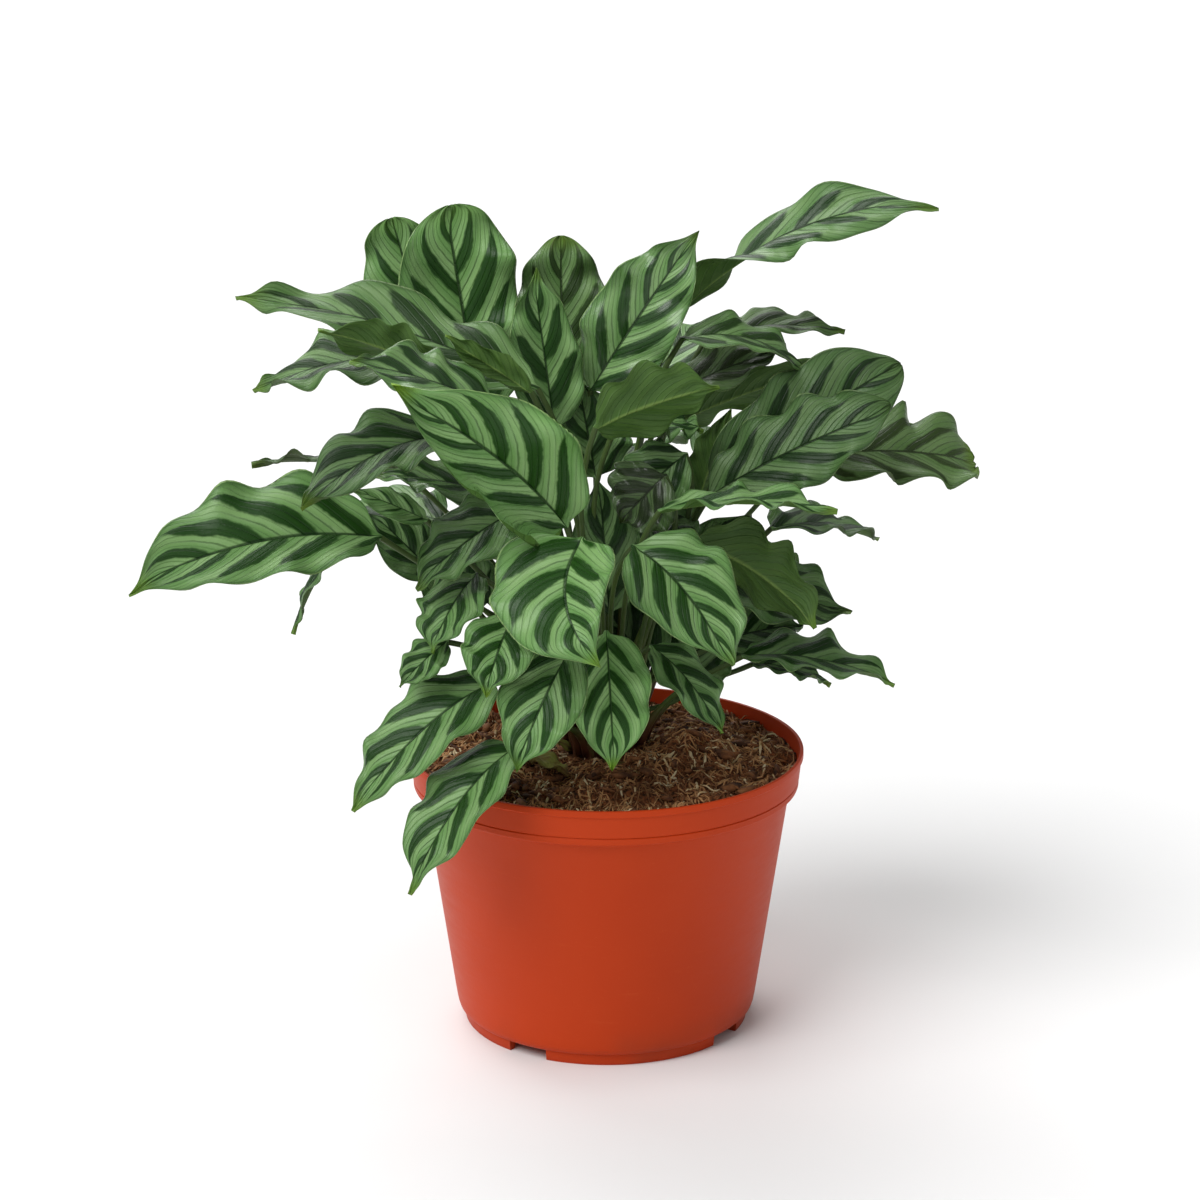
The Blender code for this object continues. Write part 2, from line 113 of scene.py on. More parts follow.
class Finish:
    # one material: its surface, and the nodes that feed it
    def __init__(self, name, **steady):
        self.material = bpy.data.materials.new(name)
        self.material.use_nodes = True
        self.tree = self.material.node_tree
        self.surface = self.tree.nodes["Principled BSDF"]
        for socket, value in steady.items():
            self.surface.inputs[socket.replace("_", " ")].default_value = value

    def node(self, kind, settings, sockets, out=0):
        made = self.tree.nodes.new("ShaderNode" + kind)
        for name, value in settings.items():
            setattr(made, name, value)
        for name, value in sockets.items():
            plug(self.tree, value, made.inputs[name])
        return Wire(self.tree, made.outputs[out])

    def place(self):
        return self.node("TexCoord", {}, {}, "Object")

    def blend(self, factor, first, second, way="MIX"):
        settings = {"data_type": "RGBA", "blend_type": way}
        return self.node("Mix", settings, {0: factor, 6: first, 7: second}, 2)

    def tint(self, factor, body, tone):
        # lays a tone over a body, as far as the factor says
        return self.blend(factor, body, colour(*tone))

    def tones(self, factor, first, second):
        return self.blend(factor, colour(*first), colour(*second))

    def ease(self, value, low, high):
        settings = {"interpolation_type": "SMOOTHSTEP"}
        return self.node("MapRange", settings, {"Value": value, "From Min": low, "From Max": high})

    def grain(self, vector, scale, detail=3.0, roughness=0.55):
        sockets = {"Vector": vector, "Scale": scale, "Detail": detail, "Roughness": roughness}
        return self.node("TexNoise", {}, sockets)

    def stretched(self, vector, scale):
        return self.node("Mapping", {}, {"Vector": vector, "Scale": scale})

    def chance(self, number):
        # one lucky number from 0 to 1 for each whole number
        return self.node("TexWhiteNoise", {"noise_dimensions": "1D"}, {"W": number})

    def split(self, name):
        # the three numbers of a mesh attribute
        vector = self.node("Attribute", {"attribute_name": name}, {}, "Vector")
        parts = self.tree.nodes.new("ShaderNodeSeparateXYZ")
        self.tree.links.new(vector.socket, parts.inputs[0])
        return [Wire(self.tree, parts.outputs[axis]) for axis in range(3)]

    def number(self, name):
        return self.node("Attribute", {"attribute_name": name}, {}, "Fac")

    def join(self, x, y, z):
        return self.node("CombineXYZ", {}, {"X": x, "Y": y, "Z": z})

    def relief(self, height, depth, strength):
        return self.node("Bump", {}, {"Height": height, "Distance": depth, "Strength": strength})

    def feed(self, **sockets):
        for name, value in sockets.items():
            plug(self.tree, value, self.surface.inputs[name.replace("_", " ")])
        return self.material


def colour(red, green, blue):
    # 0 to 255 as on a colour chart, made linear
    return tuple((part / 255.0) ** 2.2 for part in (red, green, blue)) + (1.0,)


# small helpers for meshes

closePoints = 0.00002    # points nearer than this are merged


def makeObject(name, bm):
    mesh = bpy.data.meshes.new(name)
    bm.to_mesh(mesh)
    bm.free()
    made = bpy.data.objects.new(name, mesh)
    bpy.context.scene.collection.objects.link(made)
    return made


def makePiece(name, bm, finishes, slotName, *cadNodes):
    piece = makeObject(name, bm)
    for finish in finishes:
        piece.data.materials.append(finish)
    piece.data.shade_smooth()
    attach(piece, "root")
    if cadNodes:
        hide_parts(*cadNodes)
    return piece


def turned(profile, steps):
    # radii and heights from the middle and back to it, spun once round the upright axis
    bm = bmesh.new()
    points = [bm.verts.new((radius, 0.0, height)) for radius, height in profile]
    edges = [bm.edges.new(pair) for pair in zip(points, points[1:])]
    bmesh.ops.spin(
        bm,
        geom=points + edges,
        cent=(0.0, 0.0, 0.0),
        axis=(0.0, 0.0, 1.0),
        angle=radians(360.0),
        steps=steps,
        use_merge=True,
    )
    bmesh.ops.remove_doubles(bm, verts=bm.verts, dist=closePoints)
    return bm


def loft(bm, rings):
    # one closed skin through the rings, each a list of the same number of points
    start = bmesh.ops.create_circle(bm, cap_ends=True, segments=len(rings[0]), radius=0.001)
    end = start["verts"][0].link_faces[0]
    made = []
    for number, ring in enumerate(rings):
        if number:
            end = bmesh.ops.extrude_discrete_faces(bm, faces=[end])["faces"][0]
        for corner, point in zip(end.verts, ring):
            corner.co = point
        made.append(list(end.verts))
    bmesh.ops.holes_fill(bm, edges=bm.edges, sides=len(rings[0]))
    bmesh.ops.recalc_face_normals(bm, faces=bm.faces)
    return made


def scatter(name, count, finish, slotName, shape, dice):
    # many small bits, each made by itself, gathered in one piece
    gathered = bmesh.new()
    single = bpy.data.meshes.new("single")
    for _ in range(count):
        bit = bmesh.new()
        shape(bit, dice)
        bit.to_mesh(single)
        bit.free()
        gathered.from_mesh(single)
    bpy.data.meshes.remove(single)
    makePiece(name, gathered, [finish], slotName)


def along(p0, p1, p2, p3, share):
    first = p0.lerp(p1, share)
    second = p1.lerp(p2, share)
    third = p2.lerp(p3, share)
    return first.lerp(second, share).lerp(second.lerp(third, share), share)


def smooth(value, low, high):
    share = min(max((value - low) / (high - low), 0.0), 1.0)
    return share * share * (3.0 - 2.0 * share)


# camera, floor and light

view = {
    "place": (-0.0024, -1.30, 0.5496),
    "tilt": 16.2,
    "lens": 104.0,
    "farthest": 50.0,
}

studio = {
    "floorSize": 14.0,
    "floorTone": (0.83, 0.83, 0.83, 1.0),
    "floorTone2": (0.81, 0.81, 0.81, 1.0),
    "floorClouds": 3.0,
    "floorRoughness": 0.9,
    "roomTone": (1.0, 1.0, 1.0, 1.0),
    "roomStrength": 0.38,
    "lamps": (
        # name, where it shines from, how wide its glow is in degrees, strength
        ("keyLight", (-1.10, -1.00, 1.80), 42.0, 2.60),
        ("backLight", (-0.45, 1.25, 1.35), 46.0, 1.50),
    ),
}


def makeStudio():
    scene = bpy.context.scene
    camera = bpy.data.objects.new("camera", bpy.data.cameras.new("camera"))
    camera.location = view["place"]
    camera.rotation_euler = (radians(90.0 - view["tilt"]), 0.0, 0.0)
    camera.data.lens = view["lens"]
    camera.data.clip_end = view["farthest"]
    scene.collection.objects.link(camera)
    scene.camera = camera
    scene.view_settings.view_transform = "Standard"

    bm = bmesh.new()
    bmesh.ops.create_grid(bm, x_segments=2, y_segments=2, size=studio["floorSize"])
    floor = makeObject("floor", bm)
    floorFinish = Finish("paleFloor", Roughness=studio["floorRoughness"])
    soft = floorFinish.grain(floorFinish.place(), studio["floorClouds"])
    shade = floorFinish.blend(soft, studio["floorTone"], studio["floorTone2"])
    floor.data.materials.append(floorFinish.feed(Base_Color=shade))

    room = bpy.data.worlds.new("room")
    room.use_nodes = True
    sky = room.node_tree.nodes["Background"]
    sky.inputs["Color"].default_value = studio["roomTone"]
    sky.inputs["Strength"].default_value = studio["roomStrength"]
    scene.world = room

    for name, place, glow, strength in studio["lamps"]:
        lamp = bpy.data.objects.new(name, bpy.data.lights.new(name, "SUN"))
        lamp.data.angle = radians(glow)
        lamp.data.energy = strength
        lamp.location = place
        lamp.rotation_euler = Vector(place).to_track_quat("Z", "Y").to_euler()
        scene.collection.objects.link(lamp)
    print("studio: floor, room light,", len(studio["lamps"]), "lamps")


makeStudio()


# pot

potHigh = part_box("pot")[1]

pot = {
    "steps": 180,
    "height": potHigh.z,
    "rimRadius": potHigh.x,
    "rimLip": 0.0026,
    "lipRound": 0.0004,
    "collarHeight": 0.0145,
    "collarTaper": 0.0020,
    "collarStep": 0.0032,
    "baseRadius": 0.0600,
    "baseCorner": 0.0055,
    "wall": 0.0015,
    "floorThickness": 0.0018,
    "footHeight": 0.0045,
    "footInset": 0.0030,
    "footWidth": 0.0040,
    "footGaps": 4,
    "footGapWidth": 0.0170,
    "footGapDepth": 0.0160,
    "footGapInset": 0.0035,    # from the foot's outside in to the middle of the cutter
    "footGapOver": 0.0020,     # what the cutter is taller than the foot
    "footGapRound": 0.0005,
    "footGapTurn": -33.0,
    "padRadius": 0.0140,
    "drainHoles": 6,
    "drainRadius": 0.0045,
    "drainCircle": 0.0300,
    "drainSides": 32,
    "creaseAngle": 42.0,
    "tone": (188, 64, 26),
    "deepTone": (168, 53, 22),
    "scuffTone": (196, 84, 46),
    "lowPatchTone": (110, 62, 44),
    "lowPatchHeight": (0.002, 0.020),
    "skinDepth": 0.00012,
}

wallTop = pot["height"] - pot["collarHeight"]
wallTopRadius = pot["rimRadius"] - pot["collarTaper"] - pot["collarStep"]
cornerHeight = pot["footHeight"] + pot["baseCorner"]
potFloor = pot["footHeight"] + pot["floorThickness"]


def innerRadius(height):
    share = (height - cornerHeight) / (wallTop - cornerHeight)
    return pot["baseRadius"] + (wallTopRadius - pot["baseRadius"]) * share - pot["wall"]


def plasticFinish():
    made = Finish("terracottaPlastic", IOR=1.47, Specular_IOR_Level=0.14)
    place = made.place()
    cloud = made.grain(place, 22.0, 2.0)
    flow = made.grain(made.stretched(place, (1.0, 1.0, 7.0)), 60.0, 4.0)
    speck = made.grain(place, 900.0, 2.0)
    body = made.tones(cloud * 0.5, pot["tone"], pot["deepTone"])
    body = made.tint(made.ease(flow, 0.60, 0.80) * 0.16, body, pot["scuffTone"])
    body = made.tint(made.ease(speck, 0.66, 0.74) * 0.22, body, pot["scuffTone"])
    # darker in patches low on the wall and round the foot
    height = made.node("SeparateXYZ", {}, {"Vector": place}, 2)
    lowPatches = (1.0 - made.ease(height, *pot["lowPatchHeight"])) * made.ease(cloud, 0.42, 0.62)
    body = made.tint(lowPatches * 0.30, body, pot["lowPatchTone"])
    rough = 0.40 + 0.14 * flow + 0.10 * made.ease(speck, 0.6, 0.8)
    # a faint orange-peel skin and the long waves of a moulded wall
    skin = speck * 0.35 + made.grain(place, 260.0, 2.0) * 0.65
    return made.feed(Base_Color=body, Roughness=rough, Normal=made.relief(skin, pot["skinDepth"], 0.55))


def cutFrom(piece, cutters):
    for cutter in cutters:
        boolean = piece.modifiers.new(cutter.name, "BOOLEAN")
        boolean.operation = "DIFFERENCE"
        boolean.solver = "EXACT"
        boolean.object = cutter
    bpy.context.view_layer.update()
    shape = piece.evaluated_get(bpy.context.evaluated_depsgraph_get())
    piece.modifiers.clear()
    mesh = bpy.data.meshes.new_from_object(shape)
    for cutter in cutters:
        bpy.data.objects.remove(cutter, do_unlink=True)
    return mesh


def footGapCutter(turn):
    size = (pot["footGapDepth"], pot["footGapWidth"], pot["footHeight"] + pot["footGapOver"])
    reach = pot["baseRadius"] - pot["footInset"] - pot["footGapInset"]
    middle = (reach, 0.0, pot["footHeight"] / 2.0 - pot["footGapOver"] / 2.0)
    bm = bmesh.new()
    bmesh.ops.create_cube(bm, size=1.0)
    bmesh.ops.scale(bm, vec=size, verts=bm.verts)
    bmesh.ops.bevel(
        bm,
        geom=bm.edges[:],
        offset=pot["footGapRound"],
        segments=2,
        profile=0.5,
        affect="EDGES",
        material=-1,
    )
    bmesh.ops.translate(bm, vec=middle, verts=bm.verts)
    bmesh.ops.rotate(bm, matrix=Matrix.Rotation(radians(turn), 3, "Z"), verts=bm.verts)
    return makeObject("footGap", bm)


def drainCutter(turn):
    middle = (pot["drainCircle"] * cos(turn), pot["drainCircle"] * sin(turn), potFloor)
    bm = bmesh.new()
    bmesh.ops.create_cone(
        bm,
        cap_ends=True,
        segments=pot["drainSides"],
        radius1=pot["drainRadius"],
        radius2=pot["drainRadius"],
        depth=pot["floorThickness"] * 4.0,
    )
    bmesh.ops.translate(bm, vec=middle, verts=bm.verts)
    return makeObject("drain", bm)


def makePot():
    wall = pot["wall"]
    rim = pot["rimRadius"]
    top = pot["height"]
    lip = pot["lipRound"]
    lipFoot = top - pot["rimLip"]
    collar = rim - pot["collarTaper"]
    base = pot["baseRadius"]
    foot = pot["footHeight"]
    footOuter = base - pot["footInset"]
    footInner = footOuter - pot["footWidth"]
    profile = [
        # inside, from the middle of the floor up the wall
        (0.0, potFloor),
        (base - wall - 0.0025, potFloor),
        (base - wall - 0.0010, potFloor + 0.0010),
        (innerRadius(cornerHeight), cornerHeight),
        (innerRadius(wallTop - 0.0012), wallTop - 0.0012),
        (collar - wall, wallTop + 0.0008),
        # over the lip
        (rim - wall, top - lip),
        (rim - wall + lip * 0.3, top - lip * 0.3),
        (rim - wall + lip, top),
        (rim - lip, top),
        (rim - lip * 0.3, top - lip * 0.3),
        (rim, top - lip),
        (rim, lipFoot + 0.0002),
        (rim - 0.0002, lipFoot),
        (rim - 0.0007, lipFoot - lip),
        # down the collar, with the fine groove just over its edge
        (collar + 0.0004, wallTop + 0.0034),
        (collar - 0.0001, wallTop + 0.0030),
        (collar + 0.0003, wallTop + 0.0026),
        (collar + 0.0001, wallTop + 0.0016),
        (collar + 0.0002, wallTop + 0.0008),
        (collar, wallTop + 0.0003),
        (collar - 0.0004, wallTop),
        # down the wall and round the corner at the base
        (wallTopRadius + 0.0003, wallTop - 0.0001),
        (wallTopRadius, wallTop - 0.0005),
        (base + 0.0001, cornerHeight + 0.0004),
        (base - 0.0001, cornerHeight - 0.0006),
        (base - 0.0004, foot + 0.0032),
        (base - 0.0010, foot + 0.0014),
        (base - 0.0020, foot + 0.0004),
        # foot ring, then the pad in the middle
        (footOuter, foot),
        (footOuter - 0.0004, 0.0003),
        (footOuter - 0.0007, 0.0),
        (footInner, 0.0),
        (footInner, foot),
        (pot["padRadius"], foot),
        (pot["padRadius"] - 0.0005, 0.0),
        (0.0, 0.0),
    ]
    bm = turned(profile, pot["steps"])
    bmesh.ops.recalc_face_normals(bm, faces=bm.faces)
    whole = makeObject("turnedPot", bm)

    cutters = []
    for gap in range(pot["footGaps"]):
        cutters.append(footGapCutter(pot["footGapTurn"] + gap * 360.0 / pot["footGaps"] - 90.0))
    for hole in range(pot["drainHoles"]):
        cutters.append(drainCutter(radians(hole * 360.0 / pot["drainHoles"])))
    mesh = cutFrom(whole, cutters)
    bpy.data.objects.remove(whole, do_unlink=True)

    bm = bmesh.new()
    bm.from_mesh(mesh)
    piece = makePiece("moulded_pot", bm, [plasticFinish()], "terracotta_plastic", "pot")
    piece.data.set_sharp_from_angle(angle=radians(pot["creaseAngle"]))
    print("pot:", len(piece.data.polygons), "faces")


makePot()


# potting soil

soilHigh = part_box("potting_soil")[1]
crownLow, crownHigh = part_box("crown")

soil = {
    "rings": 46,
    "steps": 220,
    "edge": soilHigh.z - 0.0045,
    "mound": 0.0040,
    "moundRadius": 0.030,
    "heaps": (
        # place, how wide it spreads, height
        (0.032, -0.002, 0.022, 0.0070),
        (0.012, -0.040, 0.014, 0.0025),
        (-0.048, -0.004, 0.018, 0.0040),
    ),
    "lumps": 0.0040,
    "lumpScale": 90.0,
    "crumbs": 0.0013,
    "crumbScale": 620.0,
    "ridges": 1.6,             # as a share of the crumbs
    "ridgeScale": 260.0,
    "wallGap": 0.0004,
    "floorGap": 0.0003,
    "fibres": {
        "count": 2600, "length": (0.004, 0.014), "radius": (0.00016, 0.00055), "bend": 2.4, "sides": 3,
    },
    "straws": {
        "count": 560, "length": (0.0015, 0.0085), "radius": (0.0002, 0.00075), "bend": 0.4, "sides": 4,
    },
    "chips": {"count": 800, "least": 0.0006, "spread": 0.0026},
    "fibreTones": ((128, 80, 48), (226, 170, 116)),
    "strawTones": ((222, 184, 130), (250, 232, 192)),
    "barkTones": ((62, 36, 22), (150, 98, 60)),
    "darkTone": (52, 31, 19),
    "midTone": (152, 92, 54),
    "lightTone": (230, 178, 126),
    "dampTone": (60, 30, 20),
}

soilEdgeRadius = innerRadius(wallTop) + pot["collarStep"] + 0.0010


def soilHeight(x, y):
    reach = hypot(x, y)
    fall = smooth(reach, soil["moundRadius"] - 0.004, soilEdgeRadius)
    level = soil["edge"] + soil["mound"] * (1.0 - fall)
    for heapX, heapY, spread, height in soil["heaps"]:
        away = hypot(x - heapX, y - heapY) / spread
        calm = 1.0 - smooth(reach, soilEdgeRadius - 0.016, soilEdgeRadius)
        level += height * exp(-away * away) * calm
    spot = Vector((x, y, 0.0))
    lump = noise.fractal(spot * soil["lumpScale"], 1.0, 2.0, 3) * soil["lumps"]
    crumb = noise.noise(spot * soil["crumbScale"]) * soil["crumbs"]
    ridge = noise.noise(spot * soil["ridgeScale"] + Vector((3.0, 7.0, 1.0)))
    ridge = abs(ridge) * soil["crumbs"] * soil["ridges"]
    calm = 1.0 - 0.5 * smooth(reach, soilEdgeRadius - 0.004, soilEdgeRadius)
    return level + (lump + crumb - ridge) * calm


def soilFinish():
    made = Finish("peatSoil", Specular_IOR_Level=0.25)
    place = made.place()
    cloud = made.grain(place, 60.0, 4.0)
    crumb = made.grain(place, 700.0, 5.0, 0.7)
    streak = made.grain(made.stretched(place, (5.0, 1.0, 2.0)), 420.0, 4.0)
    body = made.tones(made.ease(crumb, 0.35, 0.68), soil["darkTone"], soil["midTone"])
    body = made.tint(made.ease(streak, 0.60, 0.72) * 0.7, body, soil["lightTone"])
    body = made.tint(made.ease(cloud, 0.50, 0.72) * 0.45, body, soil["dampTone"])
    high = made.relief(crumb + streak * 0.5, 0.0012, 0.9)
    return made.feed(Base_Color=body, Roughness=0.82 + 0.16 * cloud, Normal=high)


def fibreFinish(name, tones, scale):
    made = Finish(name, Specular_IOR_Level=0.3)
    place = made.place()
    cloud = made.grain(place, scale, 3.0)
    hair = made.grain(made.stretched(place, (1.0, 1.0, 5.0)), 900.0, 3.0)
    body = made.tones(made.ease(cloud, 0.34, 0.66), tones[0], tones[1])
    body = made.tint(hair * 0.35, body, soil["darkTone"])
    return made.feed(Base_Color=body, Roughness=0.62 + 0.25 * hair, Normal=made.relief(hair, 0.0002, 0.6))


def makeSoilBed():
    rings = soil["rings"]
    under = potFloor + soil["floorGap"]
    profile = [(soilEdgeRadius * step / rings, soil["edge"]) for step in range(rings + 1)]
    profile.append((innerRadius(wallTop - 0.0020) - soil["wallGap"], wallTop - 0.0020))
    profile.append((innerRadius(cornerHeight) - soil["wallGap"], cornerHeight))
    profile.append((pot["baseRadius"] - pot["wall"] - 0.0035, under))
    profile.append((0.0, under))
    bm = turned(profile, soil["steps"])
    for vert in bm.verts:
        if vert.co.z > soil["edge"] - 0.0001:
            vert.co.z = soilHeight(vert.co.x, vert.co.y)
    bmesh.ops.recalc_face_normals(bm, faces=bm.faces)
    makePiece("soil_bed", bm, [soilFinish()], "peat_soil", "potting_soil")


def soilSpot(dice, edge):
    reach = (soilEdgeRadius - edge) * sqrt(dice.uniform(0.02, 1.0))
    turn = dice.uniform(0.0, 2.0 * pi)
    return reach * cos(turn), reach * sin(turn)


def fibreShape(kind):
    # a loose hair of soil that follows the ground and thins out at both ends
    bend = kind["bend"]
    sides = kind["sides"]
    steps = 6
    edge = soilEdgeRadius - 0.0012

    def shape(bit, dice):
        x, y = soilSpot(dice, 0.0030)
        heading = dice.uniform(0.0, 2.0 * pi)
        length = dice.uniform(*kind["length"])
        radius = dice.uniform(*kind["radius"])
        curl = dice.uniform(-bend, bend)
        lift = dice.uniform(0.0, 0.6) ** 3
        rings = []
        for step in range(steps + 1):
            share = step / steps
            thick = radius * (0.35 + 0.65 * sin(pi * (0.12 + 0.8 * share)))
            inside = min(hypot(x, y), edge) / max(hypot(x, y), 0.0001)
            x, y = x * inside, y * inside
            level = soilHeight(x, y) + radius * 0.4 + lift * length * share
            centre = Vector((x, y, level))
            side = Vector((-sin(heading), cos(heading), 0.0))
            ring = []
            for corner in range(sides):
                turn = corner * 2.0 * pi / sides
                up = Vector((0.0, 0.0, thick * 0.7 * sin(turn)))
                ring.append(centre + side * thick * cos(turn) + up)
            rings.append(ring)
            x += cos(heading) * length / steps
            y += sin(heading) * length / steps
            heading += curl / steps + dice.uniform(-0.10, 0.10) * bend
        loft(bit, rings)
    return shape


def chipShape(bit, dice):
    x, y = soilSpot(dice, 0.004)
    size = soil["chips"]["least"] + soil["chips"]["spread"] * dice.uniform(0.0, 1.0) ** 2
    bmesh.ops.create_icosphere(bit, subdivisions=1, radius=size)
    for vert in bit.verts:
        vert.co *= dice.uniform(0.72, 1.25)
    flat = (dice.uniform(0.9, 2.6), dice.uniform(0.5, 1.0), dice.uniform(0.25, 0.6))
    bmesh.ops.scale(bit, vec=flat, verts=bit.verts)
    turn = Matrix.Rotation(dice.uniform(0.0, 6.28), 3, "Z")
    turn = turn @ Matrix.Rotation(dice.uniform(-0.5, 0.5), 3, "X")
    bmesh.ops.rotate(bit, matrix=turn, verts=bit.verts)
    bmesh.ops.translate(bit, vec=(x, y, soilHeight(x, y) + size * 0.15), verts=bit.verts)


def makeSoil():
    dice = random.Random(31)
    makeSoilBed()
    dark = fibreFinish("coirFibre", soil["fibreTones"], 130.0)
    pale = fibreFinish("paleStraw", soil["strawTones"], 150.0)
    bark = fibreFinish("barkChip", soil["barkTones"], 170.0)
    loose = (
        ("fibres", dark, fibreShape(soil["fibres"])),
        ("straws", pale, fibreShape(soil["straws"])),
        ("chips", bark, chipShape),
    )
    for kind, finish, shape in loose:
        scatter("soil_" + kind, soil[kind]["count"], finish, "peat_soil", shape, dice)
        print("soil:", soil[kind]["count"], kind)


makeSoil()


# leaves

